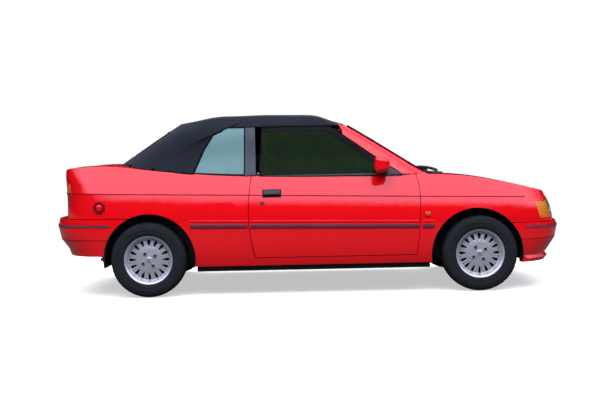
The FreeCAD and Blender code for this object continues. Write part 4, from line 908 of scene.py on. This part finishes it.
# The bumper grooves are thin bands of the darker red enamel, which is painted shade
BUMPER_BANDS = {
    "front_bumper_insert": (0.476, 0.494, behind(1.655), INSERT, maroon_plastic, "grey_trim"),
    "front_bumper_groove": (0.389, 0.393, behind(1.60), GROOVE, shaded_paint, "red_paint"),
    "rear_bumper_insert": (0.543, 0.563, ahead_of(-1.50), INSERT, maroon_plastic, "grey_trim"),
    "rear_bumper_groove": (0.444, 0.448, ahead_of(-1.45), GROOVE, shaded_paint, "red_paint"),
}
for name, (low, high, end, thick, material, slot) in BUMPER_BANDS.items():
    raised_band(name, name.rsplit("_", 1)[0], [below(low), above(high), end], thick, material, "body", slot)
print("creases, inserts and grooves:", len(CREASED) + len(BUMPER_BANDS), "pieces")

# %% Seals around the glass
# PILLAR points forward and up, square to the screen pillar; the door glass ends 1.155 m along it
PILLAR = Vector((0.583, 0, 0.813))
SEAL, TRIM, WAIST, GLASS_TOP, GLASS_REAR = 0.0022, 0.0045, 0.914, 1.250, -0.338
under_pillar, over_pillar = (PILLAR * 1.103, PILLAR), (PILLAR * 1.103, -PILLAR)
DOOR_BANDS = {
    "pillar_seal": (seal_rubber, SEAL, [over_pillar]),
    "top_seal": (seal_rubber, SEAL, [below(GLASS_TOP), under_pillar]),
    "rear_seal": (seal_rubber, SEAL, [ahead_of(GLASS_REAR), above(GLASS_TOP)]),
    "waist_seal": (grey_plastic, SEAL, [above(WAIST), under_pillar, behind(GLASS_REAR)]),
    "corner_bar": (seal_rubber, SEAL, [behind(0.500), ahead_of(0.560), under_pillar, below(WAIST)]),
    "corner_trim": (grey_plastic, TRIM, [behind(0.572), (PILLAR * 1.140, PILLAR)]),
}
GLASS_SEALS = {"quarter_windows": (0.011, SEAL), "windscreen": (0.022, 0.0015), "rear_window": (0.016, SEAL)}
JOIN = 0.0005


def made_whole():
    """In edit mode, joins a mirrored copy to the left half, which is all that the windscreen's solid has."""
    whole()
    bpy.ops.mesh.symmetrize(direction="POSITIVE_Y", threshold=JOIN)
    whole()


for side in ("right", "left"):
    for name, (material, thick, cuts) in DOOR_BANDS.items():
        band = slice_of(f"door_{name}_{side}", f"door_glass_{side}", cuts, looks_out)
        done(walled(band, thick), material, f"door_{side}", "black_plastic", 50)
for node_name, (width, thick) in GLASS_SEALS.items():
    seal = slice_of(f"{node_name}_seal", node_name, [below(0.905)], looks_out)
    edit(seal)
    if node_name == "windscreen":
        made_whole()
    bpy.ops.mesh.inset(thickness=width, use_boundary=True, use_outset=False, use_select_inset=False)
    bpy.ops.mesh.delete(type="FACE")
    leave()
    done(walled(seal, thick), seal_rubber, "body", "black_plastic", 50)
print(2 * len(DOOR_BANDS), "door glass bands and", len(GLASS_SEALS), "glass seals")

# %% [markdown]
# ## Windscreen
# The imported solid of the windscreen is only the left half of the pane. The whole pane is made here: the
# half's own faces are merged, the cut face in the middle is taken away, and a mirrored copy is joined on.

# %% The whole pane
pane = skin_of("windscreen_pane", "windscreen")
edit(pane)
drop(pane, lambda face: abs(face.calc_center_median().y) < JOIN and abs(face.normal.y) > FACING)
made_whole()
bpy.ops.mesh.remove_doubles(threshold=JOIN)
leave()
done(pane, screen_pane, "body", "glass", 40)
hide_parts("windscreen")
print("windscreen pane", [round(v, 3) for v in pane.dimensions])

# %% [markdown]
# ## Fittings on the sides
# Handles, locks, the fuel cap, side repeaters and door mirrors. Round ones are spun about their own
# axis, then stood on the panel where a ray from outside meets it, square to the paint.


# %% Handles, locks, fuel cap and repeaters
def stand_on_side(piece, x, z):
    """Moves a piece that was spun about Y to a place in the side view, with its axis square to the panel."""
    _, place, facing, _ = side_guide.ray_cast(Vector((x, -1.5, z)), Vector((0, 1, 0)))
    turn = Vector((0, -1, 0)).rotation_difference(facing).to_matrix().to_4x4()
    piece.data.transform(Matrix.Translation(place) @ turn)
    return piece


handle_plastic = finish_of("dark_grey_grained_handle_plastic", "292930", 0.48, (1.2, 0.2))
# Door handles: a dark recess behind a rounded pull bar, with the lock below
HANDLE_REAR, HANDLE_FRONT, HANDLE_HEIGHT, OVERLAP, LIFT = -0.339, -0.204, 0.778, 0.004, 0.0004
LOCK = [(0.0, 0.0022), (0.0065, 0.0022), (0.008, 0.0042), (0.0125, 0.0042), (0.0142, 0.002), (0.0142, -0.001),
        (0.0, -0.001)]
recess = side_strip("handle_recess_right", HANDLE_REAR - OVERLAP, HANDLE_FRONT + OVERLAP, HANDLE_HEIGHT,
                    HANDLE_HEIGHT, 0.060, LIFT, 0.0025, 24, 12)
both_sides(bevelled(recess, 0.001, 2), seal_rubber, DOORS, "black_plastic")
bar_height = HANDLE_HEIGHT + 0.006
bar = side_strip("door_handle_right", HANDLE_REAR + OVERLAP, HANDLE_FRONT - OVERLAP, bar_height, bar_height,
                 0.034, 0.009, 0.010, 20, 4)
both_sides(bevelled(bar, 0.0049, 5), handle_plastic, DOORS, "black_plastic")
lock = stand_on_side(spun("door_lock_right", LOCK, 40), -0.345, 0.704)
both_sides(lock, handle_plastic, DOORS, "black_plastic")

# Fuel cap on the right rear quarter, a plain round lid in the darker red of painted shade, with a paler middle
# in the plain paint
CAP_PLACE = (-1.581, 0.694)
CAP = [(0.0, 0.0062), (0.026, 0.0060), (0.031, 0.0050), (0.033, 0.0030), (0.036, 0.0030), (0.038, 0.0060),
       (0.044, 0.0060), (0.0465, 0.0040), (0.047, 0.0005), (0.047, -0.002), (0.0, -0.002)]
CAP_MIDDLE = [(0.0, 0.0078), (0.016, 0.0076), (0.0215, 0.0066), (0.0225, 0.0050), (0.0, 0.0050)]
done(stand_on_side(spun("fuel_cap", CAP, 64), *CAP_PLACE), shaded_paint, "body", "red_paint")
done(stand_on_side(spun("fuel_cap_middle", CAP_MIDDLE, 48), *CAP_PLACE), car_paint, "body", "red_paint")

# Amber side repeaters behind the front wheels
deep_amber_lens = lens("deep_amber_ribbed_acrylic_lens", "c4500e", 5.0, 0.15)
repeater = side_strip("side_repeater_right", 0.885, 0.923, 0.601, 0.601, 0.030, LIFT, 0.009, 10, 6)
both_sides(bevelled(repeater, 0.004, 4), deep_amber_lens, BODY, "lamp_amber")
print("handles, locks, fuel cap and repeaters")

# %% Door mirrors
mirror_glass = finish_of("silvered_mirror_glass", "c9d2d8", 0.02, (30.0, 0.005), Metallic=1.0)
MIRROR_LOW, MIRROR_HIGH = Vector((0.505, -0.975, 0.915)), Vector((0.614, -0.790, 1.047))
shell = cuboid("mirror_shell_right", (MIRROR_LOW + MIRROR_HIGH) / 2, MIRROR_HIGH - MIRROR_LOW)
edit(shell)
pick(shell, towards(X))
bpy.ops.transform.resize(value=(1, 0.80, 0.74))
whole()
bpy.ops.mesh.bevel(offset=0.036, segments=7, profile=0.5, affect="EDGES")
pick(shell, lambda face: towards(X, -1)(face) and face.calc_area() > 0.003)
bpy.ops.mesh.inset(thickness=0.007)
bpy.ops.mesh.extrude_region_move(TRANSFORM_OT_translate={"value": (0.010, 0, 0)})
leave()
both_sides(shell, car_paint, DOORS, "red_paint", 40)
pane = copy_of(shell, "mirror_pane_right")
edit(pane)
drop(pane, lambda face: not (towards(X, -1)(face) and face.calc_area() > 0.002))
bpy.ops.transform.translate(value=(-0.002, 0, 0))
leave()
both_sides(walled(pane, 0.003, -1.0), mirror_glass, DOORS, "glass")
foot = skin_of("mirror_foot_right", "door_mirror_right")
edit(foot)
bpy.ops.mesh.bisect(plane_co=(0, -0.812, 0), plane_no=(0, -1, 0), clear_outer=True, use_fill=True)
leave()
both_sides(foot, grey_plastic, DOORS, "grey_trim", 30)
base = cuboid("mirror_base_right", (0.562, -0.838, 0.928), (0.084, 0.085, 0.034))
both_sides(bevelled(base, 0.011, 4), black_plastic, DOORS, "black_plastic", 40)
for side in ("right", "left"):
    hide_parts(f"door_mirror_{side}")
print("door mirrors with glass")

# %% [markdown]
# ## Front and rear fittings
# Wipers lie at the foot of the screen. Each headlamp has two bright reflectors behind its lens, and each
# tail lamp an amber window above the red one. The grille has slats, and both plates are blank.


# %% Pieces from curves and bars
def rod(name, points, radius, material):
    """A smooth black rod on the body through a few points, made from a curve and turned into a mesh."""
    fresh()
    bpy.ops.curve.primitive_nurbs_path_add()
    piece = started(name)
    spline = piece.data.splines[0]
    points = points[:1] * (len(spline.points) - len(points)) + points
    for point, place in zip(spline.points, points):
        point.co = (*place, 1)
    spline.order_u, spline.use_endpoint_u = 3, True
    piece.data.bevel_depth, piece.data.bevel_resolution, piece.data.use_fill_caps = radius, 3, True
    bpy.ops.object.convert(target="MESH")
    return done(bpy.context.object, material, "body", "black_plastic", 50)


def block(name, low, high, rounding, material, slot, body="body", segments=3, lean=0.0):
    """A bar or plate with rounded edges, between two corners; its top is moved forward by lean."""
    low, high = Vector(low), Vector(high)
    piece = cuboid(name, (low + high) / 2, high - low)
    if lean:
        edit(piece)
        pick(piece, towards(Z))
        bpy.ops.transform.translate(value=(lean, 0, 0))
        leave()
    return done(bevelled(piece, rounding, segments), material, body, slot, 40)


print("rods and blocks ready")

# %% Wipers, header trim and door opening seals
# Each wiper's boss, arm and blade lie parked at the foot of the glass, from its pivot to its tip
BOSS = [(0.0, 0.0), (0.024, 0.0), (0.024, 0.024), (0.016, 0.036), (0.0, 0.036)]
WIPERS = ((-0.42, 0.16), (0.13, 0.68))
for number, (pivot, tip) in enumerate(WIPERS):
    middle = (pivot + tip) / 2
    boss = spun(f"wiper_boss_{number}", BOSS)
    boss.data.transform(Matrix.Translation((1.030, pivot, 0.900)) @ Matrix.Rotation(math.pi / 2, 4, "X"))
    done(boss, black_plastic, "body", "black_plastic")
    rod(f"wiper_arm_{number}", [(1.045, pivot, 0.922), (1.010, pivot + 0.02, 0.938),
                                (0.970, pivot + 0.10, 0.950), (0.940, middle, 0.952)], 0.012, black_plastic)
    rod(f"wiper_blade_{number}", [(0.950, pivot + 0.03, 0.940), (0.930, middle, 0.950), (0.925, tip, 0.943)],
        0.011, seal_rubber)
block("cowl_grille_bar", (0.975, -0.60, 0.893), (1.060, 0.60, 0.915), 0.006, black_plastic, "black_plastic")
# The header rail's inner trim and the seal round the door opening close the corner behind the screen pillar
block("header_trim", (0.150, -0.560, 1.262), (0.262, 0.560, 1.306), 0.012, grey_plastic, "grey_trim")
SIDES = (("right", -1), ("left", 1))
OPENING_LINE = ((-0.330, 0.602, 1.286), (0.060, 0.580, 1.286), (0.190, 0.578, 1.276), (0.260, 0.590, 1.236),
                (0.420, 0.612, 1.122))
for side, sign in SIDES:
    rod(f"door_opening_seal_{side}", [(x, sign * y, z) for x, y, z in OPENING_LINE], 0.016, seal_rubber)
    low_y, high_y = sorted((sign * 0.735, sign * 0.655))
    block(f"lock_pillar_cap_{side}", (-0.425, low_y, 0.860), (-0.350, high_y, 0.925), 0.006, black_plastic,
          "black_plastic")
print("wipers parked")

# %% Lamps
reflector_chrome = finish_of("vacuum_coated_reflector", "dfe2e6", 0.12, (20.0, 0.05), Metallic=1.0)
# Each reflector's distance from the middle line and radius, then its section, out in shares of the radius
LAMP_X, LAMP_HEIGHT = 1.865, 0.610
REFLECTORS = {"dip": (0.52, 0.056), "main": (0.40, 0.050)}
BOWL = ((0.0, -0.030), (0.35, -0.026), (0.7, -0.012), (1.0, 0.012), (1.05, 0.012), (0.75, -0.018),
        (0.35, -0.034), (0.0, -0.038))
TAIL_MIDDLE, AMBER_FROM, DIVIDER_FROM, DIVIDER_TO = 0.4, 0.803, 0.799, 0.804
for side, sign in SIDES:
    for kind, (y, radius) in REFLECTORS.items():
        bowl = spun(f"reflector_{kind}_{side}", [(share * radius, out) for share, out in BOWL], 40)
        turn = Matrix.Rotation(math.pi / 2, 4, "Z")
        bowl.data.transform(Matrix.Translation((LAMP_X, sign * y, LAMP_HEIGHT)) @ turn)
        done(bowl, reflector_chrome, "body", "alloy")
    this_side = inside_of(sign, TAIL_MIDDLE)
    amber = slice_of(f"tail_amber_{side}", "tail_lamps", [below(AMBER_FROM), this_side])
    done(walled(amber, 0.003), amber_lens, "body", "lamp_amber")
    cuts = [below(DIVIDER_FROM), above(DIVIDER_TO), this_side]
    divider = slice_of(f"tail_divider_{side}", "tail_lamps", cuts)
    done(walled(divider, 0.004), seal_rubber, "body", "black_plastic")
print("reflectors and tail lamp windows")

# %% Plates, slats and exhaust tip
plate_white = finish_of("white_reflective_plate_acrylic", "dadcda", 0.35, (1.5, 0.05))
plate_yellow = finish_of("yellow_reflective_plate_acrylic", "d9a826", 0.35, (1.5, 0.05))
# The front plate stands against the bumper, whose slope comes from two rays
RAY_LOW, RAY_HIGH, HOLDER_HEIGHT = 0.300, 0.370, 0.119
foot_x, head_x = [nodes["front_bumper"].ray_cast(Vector((3.0, 0.0, z)), Vector((-1, 0, 0)))[1].x
                  for z in (RAY_LOW, RAY_HIGH)]
lean = (head_x - foot_x) * HOLDER_HEIGHT / (RAY_HIGH - RAY_LOW)
foot_x -= lean * 0.3
block("front_plate_holder", (foot_x - 0.030, -0.268, 0.265), (foot_x + 0.003, 0.268, 0.384), 0.004,
      black_plastic, "black_plastic", lean=lean)
block("blank_front_plate", (foot_x - 0.020, -0.260, 0.270), (foot_x + 0.006, 0.260, 0.380), 0.002,
      plate_white, "alloy", lean=lean)
panel_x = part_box("rear_panel")[0][0]
block("blank_rear_plate", (panel_x - 0.014, -0.26, 0.612), (panel_x - 0.002, 0.26, 0.723), 0.002,
      plate_yellow, "alloy")
SLATS, SLAT_PITCH, SLAT_STEP = 5, 0.023, 0.012
for number in range(SLATS):
    x, z = 1.930 - SLAT_STEP * number, 0.566 + SLAT_PITCH * number
    block(f"grille_slat_{number}", (x, -0.300, z), (x + 0.032, 0.300, z + 0.009), 0.003, black_plastic,
          "black_plastic")
TIP = [(0.0, 0.05), (0.020, 0.05), (0.021, 0.09), (0.0235, 0.0905), (0.025, 0.088), (0.025, 0.0), (0.0, 0.0)]
tip = spun("exhaust_tip", TIP, 32)
tip.data.transform(Matrix.Translation((-1.735, 0.25, 0.199)) @ Matrix.Rotation(-math.pi / 2, 4, "Z"))
done(tip, chrome, "body", "steel")
print("plates, slats and exhaust tip")

# %% [markdown]
# ## Seats
# Each cushion starts as a soft-edged block. It is remeshed finely, and cloth with pressure inside swells
# it, while the stitched channels and the underside stay where they are. Its rise is capped, so it keeps
# clear of its neighbours. One seat is made on the right and copied to the left.

# %% Seat cloth
# Woven seat cloth: dark grey with a fine lighter fleck; the bolsters' plain edging cloth is near black
seat_cloth = finish_of("dark_grey_woven_seat_cloth", "292a2f", 0.95, (1.5, 0.5), (3.0, "1d1e22", "34363c"),
                       Specular_IOR_Level=0.1, Sheen_Weight=0.15)
bolster_cloth = finish_of("black_knitted_bolster_cloth", "17181b", 0.95, (1.2, 0.4), Specular_IOR_Level=0.1,
                          Sheen_Weight=0.1)
print("seat cloths ready")

# %% Swelling a cushion
# Mesh cell and half the width of a seam in metres, with the cloth's pressure and number of frames
CELL, SEAM, PRESSURE, FRAMES = 0.011, 0.004, 4.0, 20


def cushion(name, low, high, taper=1.0, shift=0.0, rounding=0.024):
    """A soft-edged block between two corners; its top is tapered along x and moved back by shift."""
    fresh()
    bpy.ops.mesh.primitive_cube_add(size=1)
    piece = started(name)
    edit(piece)
    bpy.ops.transform.resize(value=[b - a for a, b in zip(low, high)], center_override=(0, 0, 0))
    pick(piece, towards(Z))
    bpy.ops.transform.resize(value=(taper, 1, 1), center_override=(0, 0, 0))
    bpy.ops.transform.translate(value=(-shift, 0, 0))
    whole()
    bpy.ops.transform.translate(value=[(a + b) / 2 for a, b in zip(low, high)])
    bpy.ops.mesh.bevel(offset=rounding, segments=3, affect="EDGES")
    leave()
    return piece


def swollen(piece, sewn, cap):
    """Remeshes a block and lets it swell, apart from the points for which sewn is true."""
    active(piece)
    cells = piece.modifiers.new("cells", "REMESH")
    cells.mode, cells.voxel_size = "VOXEL", CELL
    bpy.ops.object.modifier_apply(modifier="cells")
    at_rest = [vertex.co.copy() for vertex in piece.data.vertices]
    held = piece.vertex_groups.new(name="sewn")
    held.add([spot for spot, place in enumerate(at_rest) if sewn(place)], 1.0, "REPLACE")
    cloth = piece.modifiers.new("swell", "CLOTH")
    cloth.settings.use_pressure, cloth.settings.uniform_pressure_force = True, PRESSURE
    cloth.settings.effector_weights.gravity = 0
    cloth.settings.vertex_group_mass = "sewn"
    cloth.point_cache.frame_start, cloth.point_cache.frame_end = 1, FRAMES
    for number in range(1, FRAMES + 1):
        scene.frame_set(number)
    active(piece)
    bpy.ops.object.modifier_apply(modifier="swell")
    for vertex, place in zip(piece.data.vertices, at_rest):
        move = vertex.co - place
        vertex.co = place + move * min(1.0, cap / max(move.length, 1e-6))
    scene.frame_set(1)
    finer = piece.modifiers.new("finer", "SUBSURF")
    finer.levels = finer.render_levels = 1
    bpy.ops.object.modifier_apply(modifier="finer")
    piece.vertex_groups.clear()
    return piece


def near(value, *lines):
    """True beside one of the stitched lines."""
    return min(abs(value - line) for line in lines) < SEAM


print("cushion tools ready")

# %% One front seat
BASE_CHANNELS, BACK_CHANNELS = (-0.10, 0.0, 0.10), (0.56, 0.66, 0.76)
UNDERSIDE, LEAN, SEAT_MIDDLE = 0.36, 0.135 / 0.515, -0.360
base = cushion("front_seat_base_right", (-0.235, -0.500, 0.345), (0.238, -0.220, 0.446))
swollen(base, lambda p: p.z < UNDERSIDE or (p.z > 0.43 and near(p.x, *BASE_CHANNELS)), 0.014)
back = cushion("front_seat_back_right", (-0.297, -0.500, 0.452), (-0.150, -0.220, 0.925), 0.68, 0.118)
swollen(back, lambda p: p.x > -0.25 - (p.z - 0.45) * LEAN and near(p.z, *BACK_CHANNELS), 0.014)
base_bolster = cushion("front_seat_base_bolster_right", (-0.235, -0.588, 0.345), (0.234, -0.508, 0.458),
                       0.94, 0.0, 0.030)
swollen(base_bolster, lambda p: p.z < UNDERSIDE, 0.010)
back_bolster = cushion("front_seat_back_bolster_right", (-0.297, -0.588, 0.456), (-0.140, -0.508, 0.915),
                       0.62, 0.112, 0.030)
swollen(back_bolster, lambda p: False, 0.008)
headrest = cushion("front_headrest_right", (-0.392, -0.440, 0.945), (-0.302, -0.280, 1.078), 0.94, 0.055,
                   0.026)
swollen(headrest, lambda p: False, 0.008)
inner_bolsters = []
for piece in (base_bolster, back_bolster):
    inner = mirrored(piece, piece.name.replace("bolster", "inner_bolster"), SEAT_MIDDLE)
    inner_bolsters.append(inner)
print("front seat", len(base.data.polygons) + len(back.data.polygons), "faces on base and back")

# %% Seat frame, stalks and rails
shell = cuboid("front_seat_shell_right", (-0.005, SEAT_MIDDLE, 0.305), (0.42, 0.41, 0.105))
edit(shell)
pick(shell, towards(Z, -1))
bpy.ops.mesh.inset(thickness=0.03)
bpy.ops.mesh.delete(type="FACE")
leave()
bevelled(shell, 0.008, 3)
metal_parts = []
for name, y in (("outer", -0.540), ("inner", -0.180)):
    rail = cuboid(f"front_seat_rail_{name}_right", (0.0, y, 0.254), (0.44, 0.034, 0.022))
    metal_parts.append((bevelled(rail, 0.004, 2), pressed_steel, "steel"))
for name, y in (("outer", -0.405), ("inner", -0.315)):
    fresh()
    bpy.ops.mesh.primitive_cylinder_add(vertices=24, radius=0.006, depth=0.060, location=(-0.346, y, 0.934),
                                        rotation=(0, -0.23, 0))
    stalk = started(f"headrest_stalk_{name}_right")
    edit(stalk)
    pick(stalk, lambda face: abs(face.normal.z) > FACING)
    bpy.ops.mesh.inset(thickness=0.001)
    leave()
    metal_parts.append((stalk, chrome, "steel"))
fresh()
bpy.ops.mesh.primitive_cylinder_add(vertices=32, radius=0.030, depth=0.020, location=(-0.225, -0.592, 0.400),
                                    rotation=(math.pi / 2, 0, 0))
knob = bevelled(started("front_seat_knob_right"), 0.004, 2)
seat_parts = [*metal_parts, (shell, black_plastic, "cabin_plastic"), (knob, black_plastic, "cabin_plastic")]
seat_parts += [(piece, seat_cloth, "seat_fabric") for piece in (base, back, headrest)]
bolsters = (base_bolster, back_bolster, *inner_bolsters)
seat_parts += [(piece, bolster_cloth, "seat_fabric") for piece in bolsters]
for piece, material, slot in seat_parts:
    copy = both_sides(piece, material, BODY, slot, 50)
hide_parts("front_seats")
print("two front seats of", len(seat_parts), "pieces each")

# %% Rear bench
for name, y0, y1 in (("right", -0.562, -0.162), ("middle", -0.154, 0.154)):
    base = cushion(f"rear_seat_base_{name}", (-0.975, y0, 0.345), (-0.574, y1, 0.440))
    swollen(base, lambda p: p.z < UNDERSIDE or (p.z > 0.42 and near(p.x, -0.70, -0.82)), 0.013)
    back = cushion(f"rear_seat_back_{name}", (-0.978, y0, 0.452), (-0.742, y1, 0.828), 0.62, 0.048)
    swollen(back, lambda p: p.x < -0.96 or (p.x > -0.90 and near(p.z, 0.56, 0.68)), 0.012)
    for piece in (base, back):
        if name == "right":
            both_sides(piece, seat_cloth, BODY, "seat_fabric", 50)
        else:
            done(piece, seat_cloth, "body", "seat_fabric", 50)
box = cuboid("rear_seat_box_right", (-0.7900, -0.327, 0.299), (0.380, 0.420, 0.108))
edit(box)
pick(box, towards(X))
bpy.ops.mesh.inset(thickness=0.02)
bpy.ops.transform.translate(value=(-0.006, 0, 0))
leave()
both_sides(bevelled(box, 0.006, 3), bolster_cloth, BODY, "seat_fabric", 40)
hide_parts("rear_seat")
print("rear bench in three places")

# %% [markdown]
# ## Cabin sides
# Behind the red skins a cabin is lined with grained trim panels. Each is a slice of the inner faces of
# its door or quarter panel, a few millimetres thick, and each door has a padded armrest.


# %% Trim panels and armrests
LINING_LOW, LINING_HIGH, LINING = 0.300, 0.850, 0.005


def inner_side(face):
    """True for faces of a side panel that look towards the car's middle."""
    place, facing = face.calc_center_median(), face.normal
    return place.y * facing.y < -OUTWARDS * abs(place.y)


for side, sign in SIDES:
    for name, node_name, body, rear, front in (("door_lining", f"door_{side}", f"door_{side}", -0.360, 0.700),
                                               ("quarter_lining", "quarter_panels", "body", -0.960, -0.475)):
        cuts = [behind(rear), ahead_of(front), below(LINING_LOW), above(LINING_HIGH), inside_of(sign, 0.40)]
        panel = slice_of(f"{name}_{side}", node_name, cuts, inner_side)
        done(walled(panel, LINING), black_plastic, body, "cabin_plastic", 40)
inside = nodes["door_right"].ray_cast(Vector((0.20, -0.30, 0.60)), Vector((0, -1, 0)))[1].y
armrest = block("door_armrest_right", (0.020, inside - 0.002, 0.585), (0.460, inside + 0.050, 0.645), 0.018,
                bolster_cloth, "seat_fabric", "door_right", 5)
declared(mirrored(armrest, "door_armrest_left"), "door_left", "seat_fabric")
print("linings; door inside at", round(inside, 3))

# %% Clearing away the side guide
bpy.data.objects.remove(side_guide)
